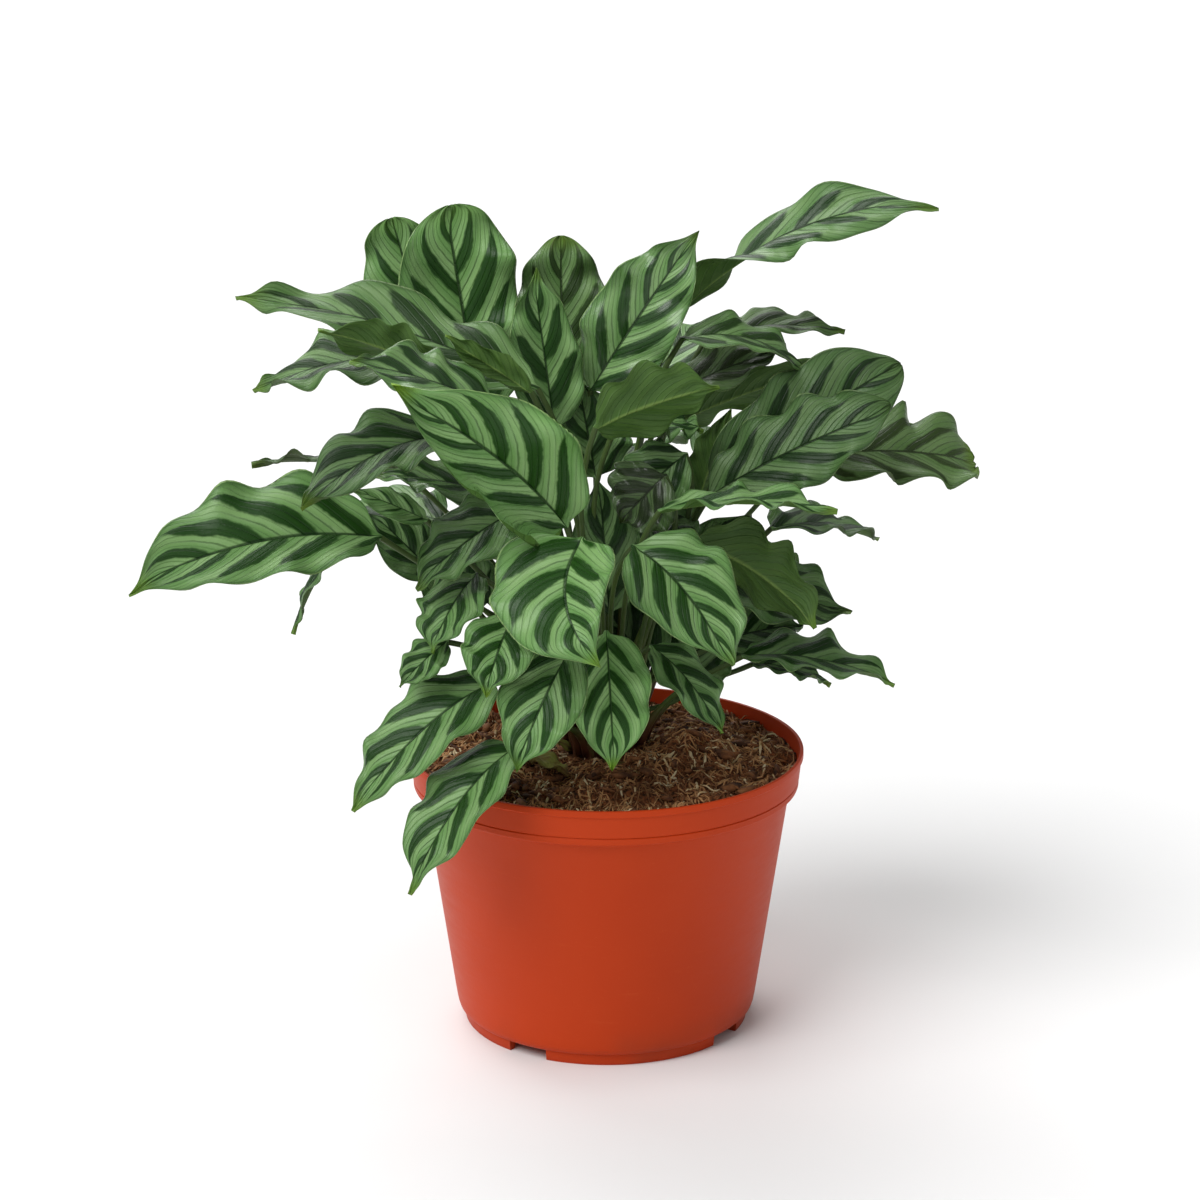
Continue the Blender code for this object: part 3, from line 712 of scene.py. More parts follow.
# The name after leaf_, then base, where stalk and blade meet, and tip in millimetres from the middle
# of the pot's rim. Then the way the upper face looks, the width, the arch at a third and at two
# thirds of the length and the sideways bow as shares of the length, and the twist in degrees.
Leaf = namedtuple("Leaf", "name base tip face width arch bow twist", defaults=(0.0, 0))
leafRows = (
    # front
    ("front_hero", (-15, -50, 103), (-78, -92, 164), (-0.3, -0.9, 0.3), 48, (0.06, 0.05), 0.08),
    ("front_heart", (-9, -72, 104), (-3, -114, 69), (-0.3, -0.52, 0.8), 48, (0.10, 0.06), 0.20),
    ("front_low_bright", (-35, -62, 71), (-45, -88, 49), (-0.1, -0.7, 0.6), 29, (0.14, 0.05)),
    ("front_over_rim", (-33, -62, 21), (-74, -95, -26), (-0.5, -0.6, 0.6), 35, (0.18, 0.10)),
    ("front_low_left", (-14, -70, 60), (-34, -92, 21), (-0.2, -0.8, 0.4), 31, (0.14, 0.06)),
    ("front_hanging", (0, -58, 64), (3, -78, 16), (0.0, -0.9, 0.4), 31, (0.14, 0.08)),
    ("front_right_droop", (17, -46, 55), (44, -56, 24), (0.5, -0.6, 0.6), 24, (0.16, 0.08)),
    ("withered", (-34, -14, 2), (-14, -36, 0), (0.0, 0.1, 1.0), 13, (0.10, 0.04)),
    ("front_right", (10, -53, 96), (46, -81, 58), (0.3, -0.7, 0.6), 42, (0.14, 0.06), -0.05),
    ("centre_underside", (-4, -46, 140), (42, -36, 154), (0.0, 0.9, 0.45), 32, (0.10, 0.04)),
    ("centre_crinkled", (5, -20, 136), (37, -11, 131), (0.0, -0.4, 0.9), 22, (0.12, 0.04)),
    # left
    ("left_long", (-86, -25, 92), (-179, -60, 81), (-0.1, -0.7, 0.7), 47, (0.12, 0.08), 0.06),
    ("left_middle", (-54, -32, 133), (-112, -76, 116), (-0.3, -0.5, 0.8), 38, (0.16, 0.12), 0.03),
    ("left_glossy", (-42, -53, 149), (-94, -60, 168), (0.0, -0.4, 0.9), 31, (0.10, 0.05)),
    ("left_sheen", (-38, -5, 101), (-90, -10, 113), (-0.1, -0.3, 0.95), 31, (0.10, 0.06)),
    ("left_dark", (-32, -36, 106), (-72, -58, 82), (-0.2, -0.6, 0.75), 31, (0.12, 0.06)),
    ("left_small", (-49, -42, 82), (-66, -63, 58), (-0.4, -0.6, 0.7), 29, (0.14, 0.06)),
    ("left_young", (-68, -33, 101), (-96, -36, 114), (0.0, -0.8, 0.5), 12, (0.10, 0.04)),
    ("left_tiny", (-60, -50, 58), (-78, -58, 43), (-0.2, -0.7, 0.6), 17, (0.12, 0.04)),
    ("left_low", (-42, -48, 42), (-96, -72, -1), (-0.4, -0.6, 0.7), 37, (0.16, 0.08)),
    ("left_new", (-28, -43, 153), (-60, -45, 174), (0.2, 0.9, 0.3), 12, (0.06, 0.02)),
    ("left_upper", (-26, -20, 149), (-141, 4, 177), (-0.2, -0.3, 0.93), 38, (0.08, 0.12)),
    ("left_upper_under", (-62, -35, 159), (-107, -39, 176), (0.0, 0.8, 0.6), 24, (0.08, 0.04)),
    ("left_back_low", (-68, 26, 149), (-138, 26, 137), (-0.2, -0.3, 0.93), 38, (0.14, 0.12)),
    ("left_edge", (-80, 20, 107), (-139, 20, 110), (0.0, 0.3, 0.95), 26, (0.08, 0.05)),
    ("left_hanging", (-92, 0, 90), (-123, 0, 46), (-0.9, -0.1, 0.5), 20, (0.20, 0.08)),
    # standing at the back left and in the middle
    ("tall_left", (-50, 46, 123), (-63, 52, 206), (0.1, -0.98, 0.1), 48, (0.04, -0.02)),
    ("tall_left_back", (-66, 62, 123), (-85, 68, 199), (-0.2, -0.95, 0.1), 36, (0.04, -0.02)),
    ("centre_upright", (-20, 2, 128), (-28, 4, 190), (0.1, -0.95, 0.2), 28, (0.05, 0.0)),
    ("centre_back", (-17, 48, 128), (-18, 60, 193), (0.0, -0.95, 0.2), 36, (0.05, 0.0)),
    ("top_centre", (-6, 8, 142), (35, 5, 205), (-0.1, -0.9, 0.35), 37, (0.05, 0.02)),
    ("top_right_long", (28, 32, 168), (127, 14, 214), (0.0, 0.0, 1.0), 32, (0.14, 0.14), 0.0, 80),
    # right
    ("right_arching", (29, 0, 164), (78, 8, 148), (0.3, -0.3, 0.9), 24, (0.22, 0.20)),
    ("right_upper", (40, 42, 156), (94, 40, 158), (0.0, -0.2, 0.97), 24, (0.12, 0.08)),
    ("right_olive", (24, 13, 138), (70, 14, 157), (0.0, -0.4, 0.9), 26, (0.08, 0.06)),
    ("right_under", (23, 21, 124), (96, 31, 147), (0.0, 0.75, 0.66), 28, (0.08, 0.06)),
    ("right_big_back", (40, -5, 106), (113, 5, 154), (-0.1, -0.9, 0.4), 40, (0.06, 0.05)),
    ("right_big_front", (39, -17, 106), (108, -24, 142), (-0.1, -0.7, 0.7), 36, (0.08, 0.06)),
    ("right_far", (78, 20, 112), (149, 40, 106), (0.0, -0.6, 0.8), 36, (0.12, 0.06)),
    ("right_spear", (36, 10, 98), (48, 8, 135), (0.0, 0.95, 0.1), 17, (0.04, 0.0)),
    ("right_dark_inner", (22, -32, 118), (5, -29, 99), (0.1, -0.8, 0.5), 24, (0.12, 0.04)),
    ("right_level", (20, -46, 108), (86, -52, 109), (0.0, 0.05, 1.0), 29, (0.10, 0.06)),
    ("right_arched_under", (33, -30, 92), (80, -47, 63), (0.3, 0.8, 0.5), 38, (0.16, 0.10)),
    ("right_low_dark", (42, 4, 66), (96, 4, 52), (0.0, -0.5, 0.85), 36, (0.12, 0.06)),
    ("right_low", (53, -10, 40), (113, -10, 30), (0.0, -0.2, 1.0), 32, (0.12, 0.06)),
    ("right_low_back", (58, 18, 28), (90, 20, 20), (0.0, -0.2, 0.95), 22, (0.14, 0.04)),
    # back, out of sight from the front
    ("back_low_left", (-36, 48, 62), (-80, 94, 44), (-0.3, 0.3, 0.9), 40, (0.14, 0.08)),
    ("back_side_left", (-66, 44, 80), (-114, 76, 70), (-0.5, 0.2, 0.85), 38, (0.14, 0.08)),
    ("back_low", (0, 58, 50), (4, 116, 30), (0.0, 0.4, 0.9), 42, (0.14, 0.08)),
    ("back_low_right", (38, 48, 60), (84, 92, 42), (0.3, 0.3, 0.9), 40, (0.14, 0.08)),
    ("back_side_right", (66, 40, 78), (112, 66, 66), (0.5, 0.2, 0.85), 36, (0.14, 0.08)),
    ("back_middle_left", (-32, 54, 98), (-62, 108, 104), (-0.3, 0.5, 0.8), 42, (0.12, 0.08)),
    ("back_middle", (6, 58, 98), (20, 120, 90), (0.0, 0.5, 0.85), 44, (0.14, 0.08)),
    ("back_middle_right", (40, 48, 104), (88, 98, 102), (0.3, 0.5, 0.8), 42, (0.12, 0.08)),
    ("back_high_left", (-34, 64, 137), (-50, 108, 152), (-0.3, 0.6, 0.7), 40, (0.10, 0.06)),
    ("back_high_right", (20, 54, 138), (48, 106, 150), (0.3, 0.6, 0.7), 40, (0.10, 0.06)),
    ("back_over_rim", (-14, 62, 18), (-26, 106, -14), (-0.2, 0.6, 0.7), 28, (0.20, 0.10)),
)

# small leaves deep in the clump, which fill it out between the stalks; they are numbered; makeLeaf paints
# them darker, as painted shade
innerRows = (
    ((1, -15, 59), (-3, -12, 112), (0.2, -0.9, 0.2), 31, (0.06, 0.03)),
    ((30, -22, 124), (4, -20, 99), (0.0, -0.8, 0.5), 28, (0.10, 0.05)),
    ((15, -12, 94), (36, -26, 85), (0.1, -0.7, 0.6), 25, (0.14, 0.06)),
    ((-4, 5, 108), (-11, 8, 146), (0.1, -0.9, 0.2), 32, (0.06, 0.03)),
    ((16, 10, 73), (22, 14, 122), (-0.1, -0.9, 0.2), 38, (0.06, 0.03)),
    ((36, 20, 51), (56, 18, 91), (-0.2, -0.9, 0.3), 37, (0.06, 0.05)),
    ((42, 6, 40), (78, 14, 46), (0.0, -0.6, 0.8), 30, (0.10, 0.05)),
    ((-66, -8, 72), (-91, -5, 97), (0.2, -0.9, 0.4), 22, (0.08, 0.04)),
    ((-50, 0, 55), (-72, 0, 91), (0.0, -0.9, 0.4), 30, (0.08, 0.04)),
    ((16, 0, 31), (-6, 4, 66), (0.2, -0.9, 0.3), 34, (0.06, 0.03)),
    ((-19, 10, 37), (-38, 14, 75), (0.0, -0.9, 0.3), 36, (0.06, 0.03)),
    ((32, 10, 19), (38, 18, 54), (0.0, -0.9, 0.3), 32, (0.06, 0.03)),
)

# what every leaf shares; what leafLooks says of a leaf comes first
plainLeaf = {
    "tone": 1.0,        # brightness of the light bands
    "olive": 0.0,       # towards brown-green
    "gloss": 0.4,
    "bandWidth": 1.0,   # width of the dark feathers
    "slant": 1.0,       # how steeply they lean towards the tip
    "bands": 0,         # dark feathers a side, 0 for as many as the length asks for
    "mirror": 0.45,     # how far the left side's feathers are out of step
    "wave": 1.0,        # ripple of the margins
    "ripples": 3.2,
    "droop": 0.16,      # how far the margins bend down again
    "leftCurl": 0.0,    # rolled-up margin, left and right
    "rightCurl": 0.0,
    "leftWidth": 1.0,
    "rightWidth": 1.0,
    "twistSpan": None,  # where along the blade its twist happens, None for all the way
    "tipGlow": 0.55,    # yellow-green of the tip
    "tipBend": 0.0,
    "tipDraw": 0.45,    # how far the tip is drawn out to a point
    "scallop": 0.55,    # swell of the margin at each feather
    "widest": 0.40,
    "fullness": 1.45,
}

leafLooks = {
    "front_hero": {
        "tone": 1.38, "bands": 5.2, "wave": 0.9, "leftWidth": 0.74, "leftCurl": 0.9,
        "rightWidth": 1.06, "widest": 0.41, "tipGlow": 1.0, "gloss": 0.45,
    },
    "front_heart": {
        "tone": 1.14, "bands": 4.6, "slant": 0.66, "widest": 0.3, "fullness": 1.25,
        "rightWidth": 1.14, "leftWidth": 0.78, "tipGlow": 0.7, "wave": 0.4, "scallop": 0.1,
        "gloss": 0.5,
    },
    "front_low_bright": {"tone": 1.05, "tipGlow": 0.9},
    "front_low_left": {"tone": 1.05},
    "front_hanging": {"tone": 1.55, "bands": 4.4, "bandWidth": 0.9, "mirror": 0.1, "tipGlow": 1.0},
    "front_right": {
        "tone": 1.02, "bands": 4.4, "slant": 0.9, "tipDraw": 0.2, "tipGlow": 0.3, "wave": 0.6,
        "scallop": 0.2, "gloss": 0.5,
    },
    "left_long": {
        "bands": 4.8, "bandWidth": 0.95, "wave": 0.9, "leftWidth": 0.84, "rightWidth": 1.1,
        "tipGlow": 0.7,
    },
    "left_middle": {"tone": 0.54, "gloss": 0.05, "tipGlow": 1.0, "bandWidth": 1.15},
    "left_glossy": {"tone": 0.9, "gloss": 0.9},
    "left_sheen": {"tone": 0.8, "gloss": 0.95},
    "left_dark": {"tone": 0.72},
    "left_young": {"tone": 1.15, "tipGlow": 0.6, "bandWidth": 0.3},
    "left_upper": {"tone": 0.85, "olive": 0.15, "wave": 1.3},
    "left_back_low": {"tone": 0.88, "olive": 0.1, "wave": 1.4},
    "tall_left": {
        "tone": 1.16, "bands": 4.2, "widest": 0.55, "fullness": 0.95, "tipDraw": 0.0, "wave": 1.5,
        "tipGlow": 0.1,
    },
    "tall_left_back": {
        "tone": 1.1, "bands": 4, "widest": 0.55, "fullness": 0.9, "tipDraw": 0.0, "tipGlow": 0.1,
    },
    "centre_back": {
        "tone": 0.85, "olive": 0.35, "widest": 0.5, "fullness": 1.0, "tipDraw": 0.1, "wave": 1.8,
    },
    "top_centre": {"tone": 1.08, "bands": 5, "gloss": 1.0, "bandWidth": 0.9},
    "top_right_long": {
        "tone": 0.85, "wave": 1.3, "ripples": 2.6, "leftWidth": 0.86, "rightWidth": 0.86,
        "widest": 0.42, "fullness": 1.2, "twistSpan": (0.08, 0.5), "scallop": 0.3, "gloss": 0.6,
    },
    "right_olive": {"tone": 0.75, "olive": 0.6},
    "right_upper": {"tone": 0.8, "olive": 0.4},
    "right_arching": {"tone": 0.85, "olive": 0.2},
    "right_big_back": {
        "tone": 0.53, "gloss": 0.1, "bands": 4.6, "widest": 0.52, "fullness": 1.1, "tipDraw": 0.1,
        "tipGlow": 0.1,
    },
    "right_big_front": {
        "tone": 0.52, "gloss": 0.1, "bands": 4.8, "widest": 0.5, "fullness": 1.15, "tipDraw": 0.2,
        "tipGlow": 0.1,
    },
    "right_far": {
        "olive": 0.6, "wave": 1.8, "widest": 0.6, "fullness": 0.8, "tipDraw": 0.0, "scallop": 1.4,
    },
    "centre_crinkled": {"tone": 0.9, "wave": 2.0, "ripples": 5.0},
    "right_dark_inner": {
        "tone": 0.5, "olive": 0.5, "gloss": 0.7, "leftWidth": 1.3, "rightWidth": 1.3,
        "bandWidth": 1.5,
    },
    "right_arched_under": {"tone": 0.78},
    "right_low_dark": {"tone": 0.75, "olive": 0.1},
    "left_edge": {"tone": 0.6, "olive": 0.4},
    "withered": {"wave": 1.4},
}

leafMake = {
    "thickness": 0.00055,
    "fold": 19.0,
    "foldRound": 0.0016,
    "ribHeight": 0.0011,
    "ribWidth": 0.0011,
    "ribGroove": 0.00035,
    "quilting": 0.00085,
    "waveHeight": 0.0029,
    "waveWidth": 38.0,          # the leaf width that the wave height is for, in millimetres
    "waveInOut": 0.030,         # the same wave along the margin's outline, and its slow swell
    "swellInOut": 0.11,
    "scallop": 0.0011,
    "scallopInOut": 0.016,
    "buckle": 0.0022,
    "rollStart": 0.62,
    "rollDraw": 0.30,
    "bandLength": 0.0180,
    "bandCount": (3.4, 4.8),
    "bandSlant": (0.34, 1.62),  # the most, and what the leaf's own shape is multiplied by
    "bandBend": (0.78, 0.22),
    "bandStart": 0.09,
    "leftBands": 20.0,          # keeps the numbers of the left side's feathers apart
    "stalkSteps": 14,
    "bladeSteps": 54,
    "across": (1.0, 0.965, 0.90, 0.81, 0.70, 0.58, 0.46, 0.34, 0.23, 0.13, 0.06, 0.025),
    "stalkRadius": 0.00115,
    "sheathRadius": 0.0019,
    "stalkRise": 0.40,
    "stalkSwing": 0.12,
    "stalkLead": 0.30,
    "stalkFollow": 0.6,
    "crownGap": 0.0003,
    "innerCircle": 0.007,
    "lightTone": (132, 164, 108),
    "lightTone2": (104, 142, 82),
    "streakTone": (138, 166, 120),
    "veinTone": (62, 98, 52),
    "darkTone": (18, 46, 12),
    "darkTone2": (42, 76, 28),
    "middleTone": (76, 118, 58),
    "tipTone": (120, 156, 44),
    # the pale hair line on the leaf's edge is a painted highlight
    "edgeHighlightTone": (142, 172, 108),
    "oliveTone": (72, 74, 46),
    "underTone": (66, 98, 38),
    "underTone2": (46, 80, 28),
    "underFeather": (46, 78, 40),
    "underVein": (52, 84, 40),
    "underStreak": (128, 152, 88),
    "underRib": (120, 146, 74),
    "underOlive": (84, 78, 46),
    "stalkTone": (80, 102, 42),
    "stalkTone2": (44, 66, 30),
    "stalkFootTone": (92, 52, 34),
    "stalkTopTone": (66, 84, 42),
    "stalkHairTone": (30, 34, 22),
    "witheredTone": (122, 128, 54),
    "witheredTone2": (98, 70, 34),
    "witheredStreak": (150, 140, 82),
    "witheredEdge": (84, 54, 32),
}

# the right-hand half of the cross-section, then the left, then the underside back again
across = leafMake["across"]
within = across[1:]
ringPlan = [(t, 0) for t in across] + [(0.0, 0)] + [(-t, 0) for t in reversed(across)]
ringPlan += [(-t, 1) for t in within] + [(0.0, 1)] + [(t, 1) for t in reversed(within)]


def fromRim(place):
    return Vector(place) * 0.001 + Vector((0.0, 0.0, pot["height"]))


def halfWidth(share, look):
    start = look["widest"] * look["fullness"]
    end = (1.0 - look["widest"]) * look["fullness"]
    most = look["widest"] ** start * (1.0 - look["widest"]) ** end
    drawn = 1.0 - look["tipDraw"] * smooth(share, 0.78, 0.96)
    return share ** start * (1.0 - share) ** end / most * drawn


def stalkFoot(name):
    # the middle of the flat end that the CAD leaf stands on, just over the crown
    level = crownHigh.z + leafMake["crownGap"]
    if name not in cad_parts:
        turn = 2.4 * int(name.split("_")[-1])
        reach = leafMake["innerCircle"]
        return Vector((reach * cos(turn), reach * sin(turn), level))
    corners = [vert.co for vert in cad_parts[name].data.vertices]
    end = [corner for corner in corners if abs(corner.z - level) < 0.00005]
    end = [corner for corner in end if corner.xy.length < crownHigh.x]
    return sum(end, Vector()) / len(end)


def leafStations(leaf, look, foot):
    # centre, sideways, upwards and share of the length at each step of the stalk and the blade;
    # the share runs from -1 to 0 on the stalk and from 0 to 1 on the blade
    base = fromRim(leaf.base)
    tip = fromRim(leaf.tip)
    chord = tip - base
    way = chord.normalized()
    face = Vector(leaf.face)
    face = (face - way * face.dot(way)).normalized()
    sideways = way.cross(face) * chord.length * leaf.bow
    first = base + chord / 3.0 + face * chord.length * leaf.arch[0] + sideways
    second = base + chord * 2.0 / 3.0 + face * chord.length * leaf.arch[1] + sideways
    run = base - foot
    swing = leafMake["stalkSwing"]
    rise = Vector((run.x * swing, run.y * swing, run.length * leafMake["stalkRise"]))
    arrive = (run.normalized() + (first - base).normalized() * leafMake["stalkFollow"]).normalized()
    lead = arrive * run.length * leafMake["stalkLead"]

    centres = []
    shares = []
    for step in range(leafMake["stalkSteps"]):
        share = step / leafMake["stalkSteps"]
        centres.append(along(foot, foot + rise, base - lead, base, share))
        shares.append(share - 1.0)
    for step in range(leafMake["bladeSteps"] + 1):
        share = step / leafMake["bladeSteps"]
        share = share * 0.55 + (0.5 - 0.5 * cos(pi * share)) * 0.45
        centres.append(along(base, first, second, tip, share))
        shares.append(share)

    last = len(centres) - 1
    tangents = [(centres[min(i + 1, last)] - centres[max(i - 1, 0)]).normalized() for i in range(last + 1)]
    tangents[0] = Vector((0.0, 0.0, 1.0))
    middle = leafMake["stalkSteps"] + leafMake["bladeSteps"] // 2
    normals = [None] * (last + 1)
    normals[middle] = (face - tangents[middle] * face.dot(tangents[middle])).normalized()
    for i in range(middle + 1, last + 1):
        normals[i] = tangents[i - 1].rotation_difference(tangents[i]) @ normals[i - 1]
    for i in range(middle - 1, -1, -1):
        normals[i] = tangents[i + 1].rotation_difference(tangents[i]) @ normals[i + 1]
    stations = []
    for centre, tangent, normal, share in zip(centres, tangents, normals, shares):
        part = smooth(share, *look["twistSpan"]) if look["twistSpan"] else max(share, 0.0)
        normal = Quaternion(tangent, radians(leaf.twist) * (part - 0.5)) @ normal
        stations.append((centre, tangent.cross(normal), normal, share))
    return stations, chord.length


def leafNumbers(leaf, look, length):
    # what makes each leaf a little different from the next
    dice = random.Random(leaf.name)
    most = leaf.width * 0.0005
    slantLimit, slantTimes = leafMake["bandSlant"]
    few, many = leafMake["bandCount"]
    return {
        "length": length,
        "most": most,
        "bands": look["bands"] or min(max(length / leafMake["bandLength"], few), many),
        "bandWidth": look["bandWidth"] * dice.uniform(0.84, 1.08),
        "slant": min(slantLimit, most / length) * slantTimes * look["slant"],
        "offset": dice.uniform(0.0, 1.0),
        "seed": dice.uniform(0.0, 90.0),
        "swing": [dice.uniform(0.0, 1.0), dice.uniform(0.0, 1.0)],
        "ripples": look["ripples"] * dice.uniform(0.85, 1.15),
        "wave": look["wave"] * leafMake["waveHeight"] * leaf.width / leafMake["waveWidth"],
        "tipBend": look["tipBend"] + dice.uniform(-0.05, 0.02),
        "tipSide": dice.uniform(-0.035, 0.035),
        "sheath": dice.uniform(0.20, 0.34),
    }


def stalkThickness(share, own):
    # thicker where it stands in its sheath, and again where it meets the blade
    stalk = min(share, 0.0) + 1.0
    radius = leafMake["stalkRadius"]
    inSheath = (1.0 - smooth(stalk, own["sheath"] - 0.08, own["sheath"])) * (share < 0.0)
    radius += (leafMake["sheathRadius"] - radius) * inSheath
    return radius * (0.86 + 0.14 * smooth(stalk, 0.75, 1.0))


def bladePoint(t, under, share, width, look, own):
    # how far sideways and upwards a point of the blade lies, and its number among the feathers
    far = abs(t)
    isLeft = t < 0.0
    seed = own["seed"]
    half = width * (look["leftWidth"] if isLeft else look["rightWidth"])
    straight, curved = leafMake["bandBend"]
    onBlade = max(share, 0.0)
    bend = own["slant"] * (straight * far + curved * far * far)
    bend = bend * onBlade / (onBlade + leafMake["bandStart"]) * 1.12
    phase = (share - bend) * own["bands"] + own["offset"] + (look["mirror"] + leafMake["leftBands"]) * isLeft
    # folded along the midrib, drooping outwards, and quilted between the feathers
    x = half * t
    y = tan(radians(leafMake["fold"]))
    y *= sqrt(x * x + leafMake["foldRound"] ** 2) - leafMake["foldRound"]
    y -= look["droop"] * x * x / max(own["most"], 0.001)
    scallop = cos(2.0 * pi * phase)
    y -= leafMake["quilting"] * scallop * sin(pi * far)
    # waved margins
    uneasy = 2.4 * noise.noise(Vector((share * 4.0, seed, t)))
    ripple = sin(2.0 * pi * (own["ripples"] * share + own["swing"][isLeft]) + uneasy)
    calm = smooth(share, 0.02, 0.2) * (1.0 - smooth(share, 0.88, 1.0))
    y += (own["wave"] * ripple + look["scallop"] * leafMake["scallop"] * scallop) * far ** 2.2 * calm
    buckle = noise.noise(Vector((share * 3.2 + seed, t * 1.4, seed))) * leafMake["buckle"]
    y += buckle * far * smooth(share, 0.0, 0.2)
    y += own["tipBend"] * own["length"] * smooth(share, 0.72, 1.0) ** 2
    # rolled-up margins
    curl = look["leftCurl"] if isLeft else look["rightCurl"]
    roll = max(far - leafMake["rollStart"], 0.0) / (1.0 - leafMake["rollStart"])
    y += curl * half * roll * roll
    x *= 1.0 - leafMake["rollDraw"] * curl * roll * roll
    uneven = noise.noise(Vector((share * 2.8, seed * 1.7, 9.0 * isLeft)))
    swell = leafMake["waveInOut"] * ripple + leafMake["swellInOut"] * uneven
    x *= 1.0 + (swell + leafMake["scallopInOut"] * look["scallop"] * scallop * calm) * far
    # thickness, with the rib below and its groove above
    thick = leafMake["thickness"] * 0.5 * sqrt(max(1.0 - far ** 6, 0.0))
    thick *= 1.0 - 0.6 * smooth(share, 0.9, 1.0)
    fade = 1.0 - smooth(share, 0.35, 1.0) * 0.8
    if under:
        ribWidth = leafMake["ribWidth"] * fade + 0.0002
        y -= thick + leafMake["ribHeight"] * fade * exp(-((x / ribWidth) ** 2))
    else:
        y += thick - leafMake["ribGroove"] * fade * exp(-((x / leafMake["ribWidth"]) ** 2))
    return x, y, phase


def makeLeaf(leaf, finishes):
    # leaves deep in the clump get darker light bands and no bright tip: painted shade
    paintedShade = {"tone": 0.72, "tipGlow": 0.0} if leaf.name.startswith("inner") else {}
    look = {**plainLeaf, **paintedShade, **leafLooks.get(leaf.name.removeprefix("leaf_"), {})}
    stations, length = leafStations(leaf, look, stalkFoot(leaf.name))
    own = leafNumbers(leaf, look, length)

    rings = []
    notes = []
    for centre, side, normal, share in stations:
        ring = []
        note = []
        radius = stalkThickness(share, own)
        flat = smooth(share, -0.01, 0.055)
        width = own["most"] * halfWidth(min(max(share, 0.0004), 0.9985), look)
        tipSide = own["tipSide"] * length * smooth(share, 0.80, 1.0) ** 2
        for column, (t, under) in enumerate(ringPlan):
            # from the stalk's circle over to the blade's cross-section
            turn = 2.0 * pi * column / len(ringPlan)
            circleX = radius * cos(turn)
            circleY = radius * sin(turn)
            x, y, phase = bladePoint(t, under, share, width, look, own)
            x = circleX + (x - circleX) * flat + tipSide
            y = circleY + (y - circleY) * flat
            ring.append(centre + side * x + normal * y)
            note.append(((phase, abs(t), share), (under if abs(t) < 1.0 else 0.5)))
        rings.append(ring)
        notes.append(note)

    bm = bmesh.new()
    bladeNote = bm.verts.layers.float_vector.new("blade")
    lookNote = bm.verts.layers.float_vector.new("look")
    glowNote = bm.verts.layers.float.new("glow")
    bandNote = bm.verts.layers.float.new("band")
    sideNote = bm.verts.layers.float.new("side")
    for verts, note in zip(loft(bm, rings), notes):
        for vert, (blade, under) in zip(verts, note):
            vert[bladeNote] = blade
            vert[lookNote] = (look["tone"], look["olive"], look["gloss"])
            vert[glowNote] = look["tipGlow"] * smooth(blade[2], 0.88, 1.0)
            vert[bandNote] = own["bandWidth"] * (1.0 - 0.45 * smooth(blade[2], 0.70, 1.0))
            vert[sideNote] = under
    for end in bm.faces:
        share = sum(vert[bladeNote][2] for vert in end.verts) / len(end.verts)
        under = sum(vert[sideNote] for vert in end.verts) / len(end.verts)
        end.material_index = 2 if share < 0.0 else (1 if under > 0.5 else 0)
    slotName = "withered_leaf" if leaf.name == "leaf_withered" else "striped_leaf"
    cadNodes = [leaf.name] if leaf.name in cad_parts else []
    return makePiece("grown_" + leaf.name, bm, finishes, slotName, *cadNodes)


def feathers(made, phase, far, width):
    # 1 inside the dark feathers, each a petal from the midrib out, and how far off its middle line
    number = phase.whole()
    luck = made.chance(number + 0.5)
    luck2 = made.chance(number + 31.5)
    off = abs(phase.part() - 0.5) * 2.0
    reach = (far / (0.66 + 0.26 * luck)).least(1.0)
    petal = (1.0 - reach ** 2.3) * (0.30 + 0.78 * reach) * (0.74 + 0.40 * luck2) * width
    return made.ease(petal - off, -0.10, 0.09), off


def streaks(made, phase, far, share, count):
    # fine lines that run along the feathers
    return made.grain(made.join(phase * count, far * 1.6, share * 3.0), 1.0, 4.0, 0.6)


